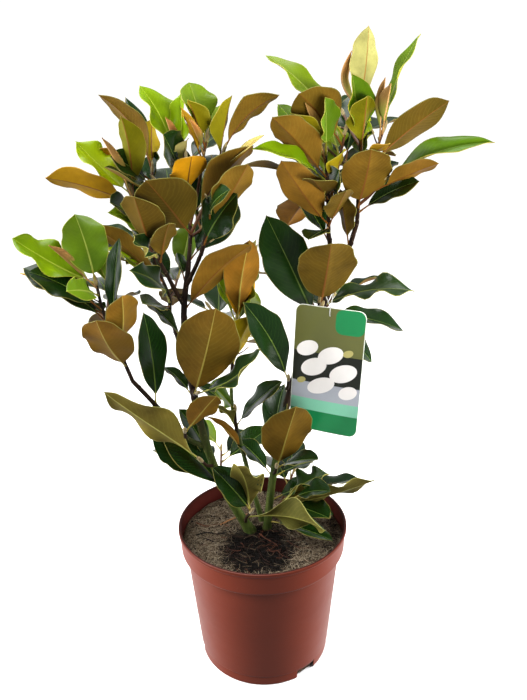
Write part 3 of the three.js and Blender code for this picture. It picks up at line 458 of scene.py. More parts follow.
GREEN_WOOD = ((42, 58, 18), (76, 86, 36))
DARK_WOOD = ((19, 12, 9), (46, 29, 19))
YOUNG_WOOD = ((66, 34, 20), (92, 58, 30))
BARK_DOT = (150, 136, 104)
TERRACOTTA = (114, 46, 28)
# Painted shade: a darker colour for the pot's inside and the lip's top, standing in for the shade
# there.
POT_PAINTED_SHADE = (62, 22, 18)
POT_SPECK = (70, 44, 36)
POT_DUST = (196, 158, 136)
# Painted shade: between these heights the lip's colour darkens, standing in for shade on it.
LIP_PAINTED_SHADE = (0.1775, 0.1812)  # heights between which the lip's colour darkens
SOIL_COLOURS = dict(
    dry=(80, 68, 53), pale=(138, 124, 103), dark=(10, 7, 5), root=(74, 42, 27), bark=(46, 27, 19),
    tan=(150, 106, 68), low=(34, 27, 20), clump=(40, 32, 24), black=(8, 6, 5),
)
CARD_COLOURS = {
    "card_front": (214, 218, 204), "card_back": (226, 226, 222), "print_olive": (90, 92, 48),
    "print_dark": (22, 26, 18), "print_green": (22, 118, 66), "print_mint": (122, 188, 158),
    "print_grey": (158, 162, 170), "print_pale": (226, 222, 218), "print_cream": (166, 158, 96),
}

# ---------------------------------------------------------------- camera and light

CAMERA = dict(lens=33.43, sensor=36, place=(0, -0.697, 0.657), pitch=19.62, yaw=0.4, roll=-0.95)
FLOOR_REACH = 30
# The room's light: its most, and for each axis of the direction looked in, where it is least,
# where it is full, and that least share.
ROOM = dict(pale=1.08, grades={"Y": (-0.2, 0.5, 0.3), "Z": (0.32, 0.16, 0.28)})
# Name, place, what it looks at, size, power and how wide it shines.
LIGHTS = [
    ("left", (-1.3, 0.05, 0.7), (0, 0, 0.3), (0.9, 1.5), 48, 180),
    ("window", (-1.2, -0.4, 0.9), (0, 0, 0.4), (0.22, 0.9), 12, 180),
    ("right", (1.3, 0.05, 0.7), (0, 0, 0.3), (0.9, 1.4), 62, 180),
    ("top", (-0.5, -0.8, 1.7), (0, 0, 0.45), (0.7, 0.5), 13, 180),
    ("crown", (0.4, -1.0, 0.45), (0.15, 0, 0.8), (0.5, 0.3), 3, 62),
]
FILLS = ("left", "right", "crown")  # lights that don't glint in what shines
SUN = dict(strength=3.4, spread=46, tilt=(-6, -6, 0))

# ---------------------------------------------------------------- small helpers


def mix(a, b, t):
    return a + (b - a) * t


def linear(srgb):
    """Linear colour of an sRGB one given from 0 to 255."""
    parts = [c / 255 for c in srgb]
    return tuple(p / 12.92 if p <= 0.04045 else ((p + 0.055) / 1.055) ** 2.4 for p in parts)


def shaded(colour, amount):
    """Colour times an amount, or times an amount for each of red, green and blue."""
    amounts = amount if isinstance(amount, tuple) else (amount,) * 3
    return tuple(min(1.0, c * a) for c, a in zip(colour, amounts))


def random_from(seed):
    """Repeatable random numbers from 0 to 1, the same as in the solids' source."""
    state = seed
    while True:
        state = (state * 1664525 + 1013904223) % 2**32
        yield state / 2**32


def aim(toward, lift):
    a, b = math.radians(toward), math.radians(lift)
    return Vector((math.cos(a) * math.cos(b), math.sin(a) * math.cos(b), math.sin(b)))


def circle(radius, sides):
    """Places round a level circle."""
    angles = [FULL_TURN * k / sides for k in range(sides)]
    return [(radius * math.cos(angle), radius * math.sin(angle)) for angle in angles]


def ring_faces(rings, sides, start=0):
    """Faces between rings of points, each ring closed on itself."""
    faces = []
    for i in range(rings - 1):
        for k in range(sides):
            a, b = start + i * sides + k, start + i * sides + (k + 1) % sides
            faces.append((a, b, b + sides, a + sides))
    return faces


def turned_over(faces):
    return [face[:1] + face[:0:-1] for face in faces]


class Route:
    """Catmull-Rom curve through a few places, measured in the share of its spans."""

    def __init__(self, places):
        self.places = [Vector(p) for p in places]

    def point(self, share):
        p = self.places
        last = len(p) - 1
        i = min(int(share * last), last - 1)
        w = share * last - i
        before = p[i - 1] if i > 0 else 2 * p[0] - p[1]
        after = p[i + 2] if i + 2 <= last else 2 * p[last] - p[last - 1]
        out = (p[i + 1] - before) / 2
        into = (after - p[i]) / 2
        cubic = 2 * p[i] - 2 * p[i + 1] + out + into
        square = -3 * p[i] + 3 * p[i + 1] - 2 * out - into
        return ((cubic * w + square) * w + out) * w + p[i]

    def tangent(self, share, reach=1e-4):
        low, high = max(0, share - reach), min(1, share + reach)
        return (self.point(high) - self.point(low)).normalized()

    def length(self, parts=60):
        places = [self.point(i / parts) for i in range(parts + 1)]
        return sum((b - a).length for a, b in zip(places, places[1:]))


def put(name, data):
    """New object of the scene."""
    made = bpy.data.objects.new(name, data)
    bpy.context.scene.collection.objects.link(made)
    return made


class MeshParts:
    """Points, faces, face looks and UVs of a mesh that grows part by part, in millimetres."""

    def __init__(self):
        self.points, self.faces, self.looks, self.uvs = [], [], [], []

    def add(self, points, faces, looks, uvs=None):
        start = len(self.points)
        self.points.extend(points)
        self.faces.extend([start + i for i in face] for face in faces)
        self.looks.extend(looks if isinstance(looks, list) else [looks] * len(faces))
        self.uvs.extend(uvs or [(0, 0)] * len(points))

    def add_slab(self, points, rows, columns, look_at, edge, uvs=None, over=False):
        """Closed thin body between two grids of points. look_at gives a strip's two looks."""
        down = rows * columns
        faces, looks = [], []
        for j in range(columns - 1):
            for i in range(rows - 1):
                a, b = i * columns + j, (i + 1) * columns + j
                faces.append((a, a + 1, b + 1, b))
                faces.append((down + b, down + b + 1, down + a + 1, down + a))
            looks += list(look_at(j)) * (rows - 1)
        for i in range(rows - 1):
            a, b = i * columns, (i + 1) * columns
            faces.append((b, down + b, down + a, a))
            a, b = a + columns - 1, b + columns - 1
            faces.append((a, down + a, down + b, b))
        last = down - columns
        for j in range(columns - 1):
            faces.append((j, down + j, down + j + 1, j + 1))
            faces.append((last + j + 1, down + last + j + 1, down + last + j, last + j))
        looks += [edge] * (len(faces) - len(looks))
        self.add(points, turned_over(faces) if over else faces, looks, uvs)

    def add_turned(self, rings, foot, end, looks, over=False):
        """Closed body of rings of points, between a first and a last place on its axis."""
        count, sides = len(rings), len(rings[0])
        points = [point for ring in rings for point in ring] + [foot, end]
        first, last = len(points) - 2, (count - 1) * sides
        faces = ring_faces(count, sides)
        for k in range(sides):
            faces.append((first, (k + 1) % sides, k))
            faces.append((first + 1, last + k, last + (k + 1) % sides))
        self.add(points, turned_over(faces) if over else faces, looks)

    def build(self, name, smooth=True):
        mesh = bpy.data.meshes.new(name)
        mesh.from_pydata([[c * MM for c in p] for p in self.points], [], self.faces)
        looks = sorted(set(self.looks))
        for look in looks:
            mesh.materials.append(material(look))
        places = {look: i for i, look in enumerate(looks)}
        mesh.polygons.foreach_set("material_index", [places[look] for look in self.looks])
        mesh.polygons.foreach_set("use_smooth", [smooth] * len(mesh.polygons))
        corners = np.zeros(len(mesh.loops), int)
        mesh.loops.foreach_get("vertex_index", corners)
        layer = mesh.uv_layers.new(name="UVMap")
        layer.data.foreach_set("uv", np.array(self.uvs, float)[corners].ravel())
        mesh.update()
        return put(name, mesh)


def dress(piece, slot, *nodes):
    """The piece rides on the plant's body and stands for CAD nodes, which it hides. Its slot is not
    used.
    """
    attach(piece, "root")
    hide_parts(*nodes)


# ---------------------------------------------------------------- materials

_made = {}


def material(look):
    if look not in _made:
        maker, *settings = LOOKS[look]
        _made[look] = maker(look, *settings)
    return _made[look]


def add_node(tree, kind, inputs=None, **settings):
    """New node of a tree. An input is a value, a colour or another node's output."""
    made = tree.nodes.new("ShaderNode" + kind)
    for key, value in settings.items():
        setattr(made, key, value)
    for key, value in (inputs or {}).items():
        feed(tree, value, made.inputs[key])
    return made


def feed(tree, value, socket):
    if isinstance(value, bpy.types.NodeSocket):
        tree.links.new(value, socket)
    elif socket.type == "RGBA":
        socket.default_value = (*value, 1)
    else:
        socket.default_value = value


class Nodes:
    """Short way to write a Principled material's nodes."""

    def __init__(self, name, **sockets):
        self.material = bpy.data.materials.new(name)
        self.material.use_nodes = True
        self.tree = self.material.node_tree
        self.shader = self.tree.nodes["Principled BSDF"]
        for socket, value in sockets.items():
            self.shader.inputs[socket.replace("_", " ")].default_value = value
        coordinates = self.node("TexCoord").outputs
        self.place, self.uv = coordinates["Object"], coordinates["UV"]

    def node(self, kind, inputs=None, **settings):
        return add_node(self.tree, kind, inputs, **settings)

    def math(self, operation, *values):
        return self.node("Math", dict(enumerate(values)), operation=operation).outputs[0]

    def times(self, a, b):
        return self.math("MULTIPLY", a, b)

    def noise(self, scale, detail=4.0, roughness=0.6, vector=None):
        inputs = {"Scale": scale, "Detail": detail, "Roughness": roughness}
        return self.node("TexNoise", {"Vector": vector or self.place, **inputs}).outputs["Fac"]

    def voronoi(self, vector, scale):
        return self.node("TexVoronoi", {"Vector": vector, "Scale": scale}).outputs

    def stretched(self, scale):
        return self.node("Mapping", {"Vector": self.place, "Scale": scale}).outputs["Vector"]

    def split(self, vector):
        return self.node("SeparateXYZ", {"Vector": vector}).outputs

    def ramp(self, value, *stops):
        """Colour ramp through stops of a place and a linear colour."""
        made = self.node("ValToRGB", {"Fac": value})
        elements = made.color_ramp.elements
        while len(elements) < len(stops):
            elements.new(1.0)
        for element, (place, colour) in zip(elements, stops):
            element.position = place
            element.color = (*colour, 1)
        return made.outputs["Color"]

    def level(self, value, low, high):
        """0 under low, 1 over high, and a smooth step between."""
        inputs = {"Value": value, "From Min": low, "From Max": high}
        return self.node("MapRange", inputs, interpolation_type="SMOOTHSTEP").outputs["Result"]

    def blend(self, share, a, b):
        return self.node("Mix", {0: share, 6: a, 7: b}, data_type="RGBA").outputs[2]

    def colour(self, value):
        feed(self.tree, value, self.shader.inputs["Base Color"])
        return self.material

    def bump(self, height, strength, distance):
        inputs = {"Height": height, "Strength": strength, "Distance": distance}
        feed(self.tree, self.node("Bump", inputs).outputs["Normal"], self.shader.inputs["Normal"])

    def mottle(self, pattern, dark, light, low=0.3, high=0.7):
        """Base colour that goes from dark to light over a pattern."""
        return self.colour(self.ramp(pattern, (low, dark), (high, light)))


# ---- leaves


def vein_ridges(nodes):
    """Ridges of the side veins, which leave the midrib at a slant, worked out from the UVs."""
    along, across, _ = nodes.split(nodes.uv)
    out = nodes.math("ABSOLUTE", nodes.math("SUBTRACT", across, 0.5))
    bent = nodes.math("MULTIPLY_ADD", out, VEINS["curve"], VEINS["slant"])
    slant = nodes.math("SUBTRACT", along, nodes.times(out, bent))
    wander = nodes.math("MULTIPLY_ADD", nodes.noise(55.0), VEINS["wander"], slant)
    wave = nodes.math("COSINE", nodes.times(wander, VEINS["count"] * FULL_TURN))
    ridges = nodes.math("POWER", nodes.math("MULTIPLY_ADD", wave, 0.5, 0.5), VEINS["sharp"])
    return nodes.times(ridges, nodes.level(along, *VEINS["fade"]))


def face_look(look, kind, face, tone):
    """Upper face or underside of a leaf: mottled, clouded and veined."""
    upper = face == "upper"
    rough = GLOSSY.get(kind, 0.5) if upper else 0.62
    gloss = GLOSS.get(kind, 0.2) if upper else 0.15
    nodes = Nodes(look, Roughness=rough, Specular_IOR_Level=gloss)
    contrast, vein_share = (0.25, 0.04) if upper else (0.3, 0.06)
    base, vein = (linear(LEAF_COLOURS[kind][k]) for k in ((0, 2) if upper else (1, 3)))
    base = shaded(base, tone)
    veins = vein_ridges(nodes)
    colour = nodes.ramp(
        nodes.noise(36.0, 6.0, 0.65),
        (0.32, shaded(base, 1 - contrast)), (0.7, shaded(base, 1 + contrast)),
    )
    clouds = nodes.times(nodes.level(nodes.noise(13.0, 3.0), 0.45, 0.62), 0.5)
    colour = nodes.blend(clouds, colour, shaded(base, (0.72, 0.86, 0.8)))
    if kind == "rolled":
        foot = nodes.level(nodes.split(nodes.uv)["X"], 0.75, 0.1)
        colour = nodes.blend(foot, colour, linear(ROLLED_FOOT))
    grain = nodes.noise(500.0, 3.0)
    nodes.bump(nodes.math("MULTIPLY_ADD", grain, 0.12, veins), 0.14, 0.0004)
    return nodes.colour(nodes.blend(nodes.times(veins, vein_share), colour, vein))


def line_look(look, srgb):
    """Midrib or margin of a leaf. A margin's pale colour is painted light shining through the thin
    edge.
    """
    nodes = Nodes(look, Roughness=0.5, Specular_IOR_Level=0.3)
    line = linear(srgb)
    return nodes.mottle(nodes.noise(60.0), shaded(line, 0.72), line, high=0.75)


# ---- wood


def wood_look(look, colours, rough, gloss, green_below=None):
    """Streaked bark with pale dots, which may be green under a height."""
    nodes = Nodes(look, Roughness=rough, Specular_IOR_Level=gloss)
    streaks = nodes.noise(1.0, 6.0, 0.65, nodes.stretched((240, 240, 34)))

    def streaked(dark, light):
        return nodes.ramp(streaks, (0.35, linear(dark)), (0.7, linear(light)))

    colour = streaked(*colours)
    if green_below:
        low, high = green_below
        height = nodes.math("MULTIPLY_ADD", streaks, 0.04, nodes.split(nodes.place)["Z"])
        height = nodes.level(height, low * MM, high * MM)
        colour = nodes.blend(height, streaked(*GREEN_WOOD), colour)
    dots = nodes.voronoi(nodes.stretched((260, 260, 200)), 1.0)
    dot = nodes.level(dots["Distance"], 0.16, 0.1)
    nodes.bump(nodes.math("ADD", streaks, nodes.times(dot, 0.6)), 0.5, 0.0007)
    return nodes.colour(nodes.blend(nodes.times(dot, 0.45), colour, linear(BARK_DOT)))


def silky_look(look, dark, light, rough, sheen, bump, pattern):
    """Fine streaks or twists, which also stand out a little."""
    scale, detail, stretch, low = pattern
    nodes = Nodes(look, Roughness=rough, Sheen_Weight=sheen)
    streaks = nodes.noise(scale, detail, vector=stretch and nodes.stretched(stretch))
    nodes.bump(streaks, *bump)
    return nodes.mottle(streaks, linear(dark), linear(light), low)


# ---- pot, soil, tag


def pot_look(look, srgb):
    """Worn plastic with specks and dust, and painted shade that darkens the lip."""
    nodes = Nodes(look, Roughness=0.36, Specular_IOR_Level=0.36)
    clean = linear(srgb)
    cloud = nodes.noise(14.0, 3.0)
    colour = nodes.ramp(cloud, (0.3, shaded(clean, 0.93)), (0.75, shaded(clean, 1.06)))
    specks = nodes.voronoi(nodes.place, 70.0)
    chosen = nodes.level(nodes.split(specks["Color"])["X"], 0.8, 0.86)
    speck = nodes.times(nodes.level(specks["Distance"], 0.05, 0.02), chosen)
    colour = nodes.blend(nodes.times(speck, 0.8), colour, linear(POT_SPECK))
    dust = nodes.level(nodes.noise(220.0, 6.0, 0.8), 0.62, 0.78)
    colour = nodes.blend(nodes.times(dust, 0.16), colour, linear(POT_DUST))
    wear = {"Value": nodes.noise(30.0, 5.0, 0.7), "To Min": 0.28, "To Max": 0.46}
    feed(nodes.tree, nodes.node("MapRange", wear).outputs[0], nodes.shader.inputs["Roughness"])
    ripple = nodes.noise(1.0, 2.0, vector=nodes.stretched((9, 9, 60)))
    nodes.bump(nodes.math("MULTIPLY_ADD", dust, 0.12, ripple), 0.2, 0.0008)
    # Painted shade on the lip, darker towards its top.
    lip = nodes.level(nodes.split(nodes.place)["Z"], *LIP_PAINTED_SHADE)
    return nodes.colour(nodes.blend(lip, colour, shaded(clean, 0.55)))


def wet_share(nodes):
    """1 in the dark wet patch before the trunk, and 0 outside it."""
    x, y, _ = nodes.split(nodes.place)
    squares = []
    for place, centre, reach in zip((x, y), WET["centre"], (WET["wide"], WET["long"])):
        out = nodes.math("DIVIDE", nodes.math("SUBTRACT", place, centre * MM), reach * MM)
        squares.append(nodes.math("POWER", out, 2.0))
    out = nodes.math("SQRT", nodes.math("ADD", *squares))
    ragged = nodes.math("MULTIPLY_ADD", nodes.noise(46.0, 6.0, 0.75), 1.6, out)
    return nodes.level(ragged, 1.95, 1.45)


def soil_look(look):
    """Dry fibrous soil with darker clumps, and the wet patch."""
    nodes = Nodes(look, Roughness=0.95, Specular_IOR_Level=0.15)
    fibre, clumps = nodes.noise(420.0, 8.0, 0.75), nodes.noise(70.0, 4.0, 0.6)
    low, dry, pale, clump, black, dark = (
        linear(SOIL_COLOURS[name]) for name in ("low", "dry", "pale", "clump", "black", "dark")
    )
    colour = nodes.ramp(fibre, (0.34, low), (0.47, dry), (0.66, pale))
    clumped = nodes.blend(0.65, colour, clump)
    colour = nodes.blend(nodes.level(clumps, 0.48, 0.62), colour, clumped)
    wet = nodes.ramp(fibre, (0.4, black), (0.7, dark))
    nodes.bump(nodes.math("ADD", fibre, clumps), 0.9, 0.0016)
    return nodes.colour(nodes.blend(wet_share(nodes), colour, wet))


def plain_look(look, srgb, rough, gloss, scale, dark, light):
    nodes = Nodes(look, Roughness=rough, Specular_IOR_Level=gloss)
    base = linear(srgb)
    return nodes.mottle(nodes.noise(scale), shaded(base, dark), shaded(base, light))


def card_look(look, srgb):
    nodes = Nodes(look, Roughness=0.28, Coat_Weight=0.4, Coat_Roughness=0.12)
    base = linear(srgb)
    nodes.bump(nodes.noise(500.0, 3.0), 0.05, 0.0003)
    return nodes.mottle(nodes.noise(40.0), shaded(base, 0.96), shaded(base, 1.04))


# The maker of each material and its settings, by its name.
LOOKS = {
    "rib_dark": (line_look, DARK_RIB),
    "bark": (wood_look, DARK_WOOD, 0.6, 0.25, (280, 370)),
    "shoot_wood": (wood_look, DARK_WOOD, 0.58, 0.25),
    "young_wood": (wood_look, YOUNG_WOOD, 0.55, 0.5),
    "green_wood": (wood_look, GREEN_WOOD, 0.5, 0.5),
    "bud": (
        silky_look, (104, 84, 48), (158, 142, 92), 0.8, 0.3, (0.5, 0.0004),
        (1.0, 3.0, (900, 900, 120), 0.35),
    ),
    "tie_cord": (
        silky_look, (176, 178, 170), (222, 222, 216), 0.5, 0.0, (0.4, 0.0003),
        (900.0, 2.0, None, 0.3),
    ),
    "pot_plastic": (pot_look, TERRACOTTA),
    "pot_inside": (pot_look, POT_PAINTED_SHADE),
    "soil": (soil_look,),
    "fibre_pale": (plain_look, SOIL_COLOURS["pale"], 0.85, 0.3, 160.0, 0.75, 1.25),
    "fibre_dry": (plain_look, SOIL_COLOURS["dry"], 0.9, 0.3, 160.0, 0.75, 1.25),
    "fibre_dark": (plain_look, SOIL_COLOURS["dark"], 0.85, 0.3, 160.0, 0.75, 1.25),
    "root_strand": (plain_look, SOIL_COLOURS["root"], 0.75, 0.3, 160.0, 0.6, 1.4),
    "root_dark": (plain_look, SOIL_COLOURS["bark"], 0.8, 0.3, 160.0, 0.6, 1.4),
    "root_tan": (plain_look, SOIL_COLOURS["tan"], 0.75, 0.3, 160.0, 0.7, 1.3),
    "floor": (plain_look, (246, 246, 246), 0.7, 0.2, 3.0, 0.985, 1),
    **{name: (card_look, srgb) for name, srgb in CARD_COLOURS.items()},
}
for kind, colours in LEAF_COLOURS.items():
    for line, srgb in zip(("rib_upper", "rib_under", "margin"), colours[2:]):
        LOOKS[f"{kind}_{line}"] = (line_look, srgb)
    for index, tone in enumerate(TONES):
        for face in ("upper", "under"):
            LOOKS[f"{kind}_{face}_{index}"] = (face_look, kind, face, tone)

# ---------------------------------------------------------------- growth, by the solids' rule


class Leaf:
    def __init__(self, kind, root, along, turn, long, wide, arch, own=None):
        level = (Vector((0, 0, 1)) - along * along.z).normalized()
        self.kind, self.root, self.along = kind, root, along
        self.long, self.wide, self.arch = long, wide, arch
        self.own = own or {}  # what sets this leaf's fine shape apart
        self.up = Quaternion(along, math.radians(turn)) @ level
        self.across = along.cross(self.up)
        self.stalk = LEAF["petiole"] / long

    def midrib(self, t):
        bend = self.arch * self.long * 4 * t * (1 - t)
        return self.root + self.along * (self.long * t) + self.up * bend

    def half_width(self, u):
        kind = KINDS[self.kind]
        blunt = mix(kind["base_blunt"], kind["tip_blunt"], u)
        return self.wide / 2 * np.sin(np.pi * u ** LEAF["peak"]).clip(0) ** blunt

    def rib(self):
        """Look of its stalk, and of its midrib underneath."""
        dark = self.root.z > HIGH and self.kind in DARK_RIBBED
        return "rib_dark" if dark else f"{self.kind}_rib_under"


def leaves_on(table, name, curves):
    """Leaves of a table that one limb or mass bears. Its curves are its stem and its twigs."""
    leaves = []
    for shoot, curve in enumerate(curves):
        for kind, share, toward, lift, long, wide, turn, arch, *own in table.get((name, shoot), []):
            way = aim(toward, lift)
            leaves.append(Leaf(kind, curve.point(share), way, turn, long, wide, arch, *own))
    return leaves


def twig_curve(parent, share, toward, lift, long):
    foot, along = parent.point(share), aim(toward, lift)
    middle = foot + along * (long / 2)
    middle.z -= long * TWIG_SAG
    return Route([foot, middle, foot + along * long])


def away_from(axis, around, opening):
    """Direction that opens from an axis by one angle, at another angle round it."""
    side = Vector((0, 0, 1)).cross(axis).normalized()
    side = Quaternion(axis, math.radians(around)) @ side
    return axis * math.cos(math.radians(opening)) + side * math.sin(math.radians(opening))


def rule_leaves(curve, chance):
    """For each leaf of a twig that grows by rule, the places that it may take."""
    leaves = []
    start = next(chance) * 360
    for i in range(RULE["leaves"]):
        age = i / (RULE["leaves"] - 1)
        share = mix(*RULE["leaf_share"], age)
        around = start + i * GOLDEN_ANGLE + (next(chance) - 0.5) * RULE["jitter"]
        opening = mix(*RULE["open"], age) + (next(chance) - 0.5) * RULE["jitter"]
        long = mix(*RULE["leaf_long"], age) * mix(*RULE["vigour"], next(chance))
        turn = (next(chance) - 0.5) * 2 * RULE["jitter"]
        arch = mix(*RULE["arch"], next(chance))
        kind = "fresh" if age == 1 else "mature"
        foot, axis = curve.point(share), curve.tangent(share)
        turns = [around + k * RULE["try_step"] for k in range(RULE["tries"])]
        ways = [away_from(axis, angle, opening) for angle in turns]
        wide = RULE["slim"] * long
        leaves.append([Leaf(kind, foot, way, turn, long, wide, arch) for way in ways])
    return leaves


def rule_twigs(mass, curve, chance):
    """Curve and leaves of each twig that grows on a mass by rule."""
    count, toward, spread = mass.get("grown", (0, 0, 0))
    twigs = []
    for i in range(count):
        place = (i + 0.5) / count
        share = mix(*RULE["share"], place)
        sweep = ((i + 0.5) * GOLDEN_FRACTION) % 1 - 0.5
        lift = mix(*RULE["lift"], place) + (next(chance) - 0.5) * RULE["jitter"]
        long = mix(*RULE["long"], next(chance))
        route = twig_curve(curve, share, toward + spread * sweep, lift, long)
        twigs.append((route, rule_leaves(route, chance)))
    return twigs


def stands_in(tree, leaf):
    """Whether the mass's solid has this leaf: its midrib lies in the solid's thin blade."""
    places = [leaf.midrib(mix(leaf.stalk, 1, u)) for u in LEAF_STATIONS]
    return all(tree.find_nearest(place * MM)[3] < NEAR * MM for place in places)


def grow(name, mass, chance):
    """Wood as (curve, radii), and leaves, of one mass."""
    tree = BVHTree.FromObject(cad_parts[name], bpy.context.evaluated_depsgraph_get())
    stem = Route(mass["stem"])
    curves = [stem] + [twig_curve(stem, *twig) for twig in mass.get("twigs", [])]
    leaves = [leaf for leaf in leaves_on(LEAVES, name, curves) if stands_in(tree, leaf)]
    leaves += leaves_on(MORE_LEAVES, name, curves)
    for route, choices in rule_twigs(mass, stem, chance):
        curves.append(route)
        for places in choices:
            leaves += [leaf for leaf in places if stands_in(tree, leaf)][:1]
    return [(stem, SHOOT_RADII)] + [(curve, TWIG_RADII) for curve in curves[1:]], leaves


# ---------------------------------------------------------------- fine leaves

HALF_COLUMNS = len(BLADE["columns"])
LAST_STRIP = 2 * HALF_COLUMNS - 2


def strip_looks(leaf, tone, strip):
    """Looks of a strip between two columns, above and below: blade, midrib, or margin with its
    painted light through the edge.
    """
    if strip == HALF_COLUMNS - 1:
        return f"{leaf.kind}_rib_upper", leaf.rib()
    # Edge strips: painted light, a pale margin that stands for light shining through the leaf.
    if strip in (0, LAST_STRIP):
        return (f"{leaf.kind}_margin",) * 2
    return tuple(f"{leaf.kind}_{face}_{tone}" for face in ("upper", "under"))


def blade_columns(half, u):
    """Places across a leaf, from edge to edge, for each place along it."""
    rib = np.clip(mix(RIB["foot"], RIB["tip"], u) / half, 0, RIB["most"])[:, None]
    out = rib + (1 - rib) * np.array(BLADE["columns"])
    return np.hstack([-out[:, ::-1], out])


def blade_surface(leaf, dice, half, u, v):
    """Middle surface of a fine leaf, as a grid of places along (u) and across (v)."""
    t = mix(leaf.stalk, 1, u)
    up, across, along = (np.array(axis) for axis in (leaf.up, leaf.across, leaf.along))
    tip = leaf.own.get("tip", -BLADE["droop"])
    bend = leaf.long * (leaf.arch * 4 * t * (1 - t) + tip * u**3)
    sickle = dice.uniform(*BLADE["sickle"]) + leaf.own.get("sickle", 0)
    middle = np.array(leaf.root) + np.outer(leaf.long * t, along)
    middle += np.outer(bend, up) + np.outer(leaf.long * sickle * np.sin(np.pi * u), across)
    out, half = np.abs(v), half[:, None]
    if leaf.kind == "rolled":
        side = half * np.sin(BLADE["roll"] * v)
        height = half * (1 - np.cos(BLADE["roll"] * v))
    else:
        arc, beat = dice.uniform(*BLADE["arc"]), dice.uniform(*BLADE["beat"])
        swing = np.sin(beat * u + 2 * np.sin(beat * BLADE["second_beat"] * u))
        uneven = BLADE["uneven"] * swing[:, None]
        side = half * v * (1 + uneven * np.sign(v) * out**2)
        fold = KINDS[leaf.kind]["fold"] * dice.uniform(*BLADE["fold"])
        height = fold * half * (arc * out + (1 - arc) * out**2)
    envelope = np.sin(np.pi * u)[:, None] ** BLADE["wave_ends"]
    for way, side_name in ((-1, "left"), (1, "right")):
        count, phase = dice.uniform(*BLADE["waves"]), dice.uniform(0, FULL_TURN)
        depth = BLADE["wave"] * WAVY.get(leaf.kind, 1) * dice.uniform(*BLADE["depth"])
        count, phase, depth = leaf.own.get(side_name, (count, phase, depth))
        swing = envelope * np.sin(FULL_TURN * count * u + phase)[:, None]
        height = height + depth * leaf.wide / 2 * swing * (way * v > 0) * out ** BLADE["wave_edge"]
    twist = math.radians(dice.uniform(*BLADE["twist"])) * (u - 0.5)[:, None]
    turned = side * np.cos(twist) - height * np.sin(twist)
    height = side * np.sin(twist) + height * np.cos(twist)
    return middle[:, None, :] + turned[:, :, None] * across + height[:, :, None] * up


def add_blade(parts, leaf, dice):
    """Closed fine leaf with a raised midrib underneath, a groove above and a margin painted pale,
    as light shining through the leaf's edge.
    """
    u = (1 - np.cos(np.linspace(0, math.pi, BLADE["rows"]))) / 2
    oval = leaf.wide / 2 * np.sqrt(1 - (2 * u - 1) ** 2)
    half = mix(leaf.half_width(u), oval, leaf.own.get("round", 0))
    half *= 1 - np.exp((u - 1) / BLADE["point"])
    half *= SLIMMER.get(leaf.kind, 1) * leaf.own.get("slim", 1)
    half = np.maximum(half, BLADE["thick"] / 2)
    v = blade_columns(half, u)
    surface = blade_surface(leaf, dice, half, u, v)
    normal = -np.cross(np.gradient(surface, axis=0), np.gradient(surface, axis=1))
    normal /= np.linalg.norm(normal, axis=2, keepdims=True) + 1e-9
    on_rib = np.zeros((*v.shape, 1))
    on_rib[:, HALF_COLUMNS - 1:HALF_COLUMNS + 1, 0] = (1 - RIB["fade"] * u)[:, None]
    upper = surface + normal * (BLADE["thick"] / 2 - RIB["groove"] * on_rib)
    under = surface - normal * (BLADE["thick"] / 2 + RIB["proud"] * on_rib)
    tone = leaf.own.get("tone", dice.randrange(COMMON_TONES))
    grid = [(along, (across + 1) / 2) for along, row in zip(u, v) for across in row]
    points = upper.reshape(-1, 3).tolist() + under.reshape(-1, 3).tolist()
    parts.add_slab(
        points, *v.shape, lambda strip: strip_looks(leaf, tone, strip), f"{leaf.kind}_margin",
        grid + grid,
    )


def add_leaves(leaves, stalks, blades, dice):
    """Stalk, small bud in its axil and fine blade of each leaf."""
    for leaf in leaves:
        route = Route([leaf.root] + [leaf.midrib(leaf.stalk * share) for share in STALK["ends"]])
        add_tube(stalks, route, stalk_radius, leaf.rib(), STALK["sides"], STALK["step"])
        along = (leaf.along + leaf.up * AXIL_BUD["lean"]).normalized()
        foot, long = leaf.root + along * AXIL_BUD["sink"], AXIL_BUD["long"]
        route = Route([foot, foot + along * (long / 2), foot + along * long])
        add_bulge(stalks, route, AXIL_BUD["radius"], AXIL_BUD, "bud")
        add_blade(blades, leaf, dice)


# ---------------------------------------------------------------- wood


def stalk_radius(share, _):
    """Radius of a leaf's stalk, which is thicker at its foot."""
    thins = STALK["thins"] * min(1, share * STALK["within"])
    return LEAF["petiole_radius"] * (STALK["foot"] - thins)


def add_tube(parts, curve, radius_at, look, sides, step):
    """Closed round tube along a curve. radius_at takes the share along and the angle round."""
    count = max(2, round(curve.length() / step))
    tangent = curve.tangent(0)
    side = tangent.orthogonal().normalized()
    points, uvs = [], []
    for i in range(count + 1):
        share = i / count
        ahead = curve.tangent(share)
        side = tangent.rotation_difference(ahead) @ side
        side = (side - ahead * side.dot(ahead)).normalized()
        tangent, other, middle = ahead, ahead.cross(side), curve.point(share)
        for k in range(sides):
            angle = FULL_TURN * k / sides
            radius = radius_at(share, angle)
            sideways = side * (radius * math.cos(angle))
            points.append(middle + sideways + other * (radius * math.sin(angle)))
            uvs.append((share, k / sides))
    faces = ring_faces(count + 1, sides)
    faces.append(tuple(range(sides - 1, -1, -1)))
    faces.append(tuple(count * sides + k for k in range(sides)))
    parts.add(points, faces, look, uvs)


def add_bulge(parts, curve, radius, sizes, look):
    """Tube that swells and then closes again along its curve."""
    start, span, power, least = sizes["bulge"]

    def radius_at(share, _):
        return max(least, radius * math.sin(math.pi * (start + span * share)) ** power)

    add_tube(parts, curve, radius_at, look, sizes["sides"], sizes["step"])


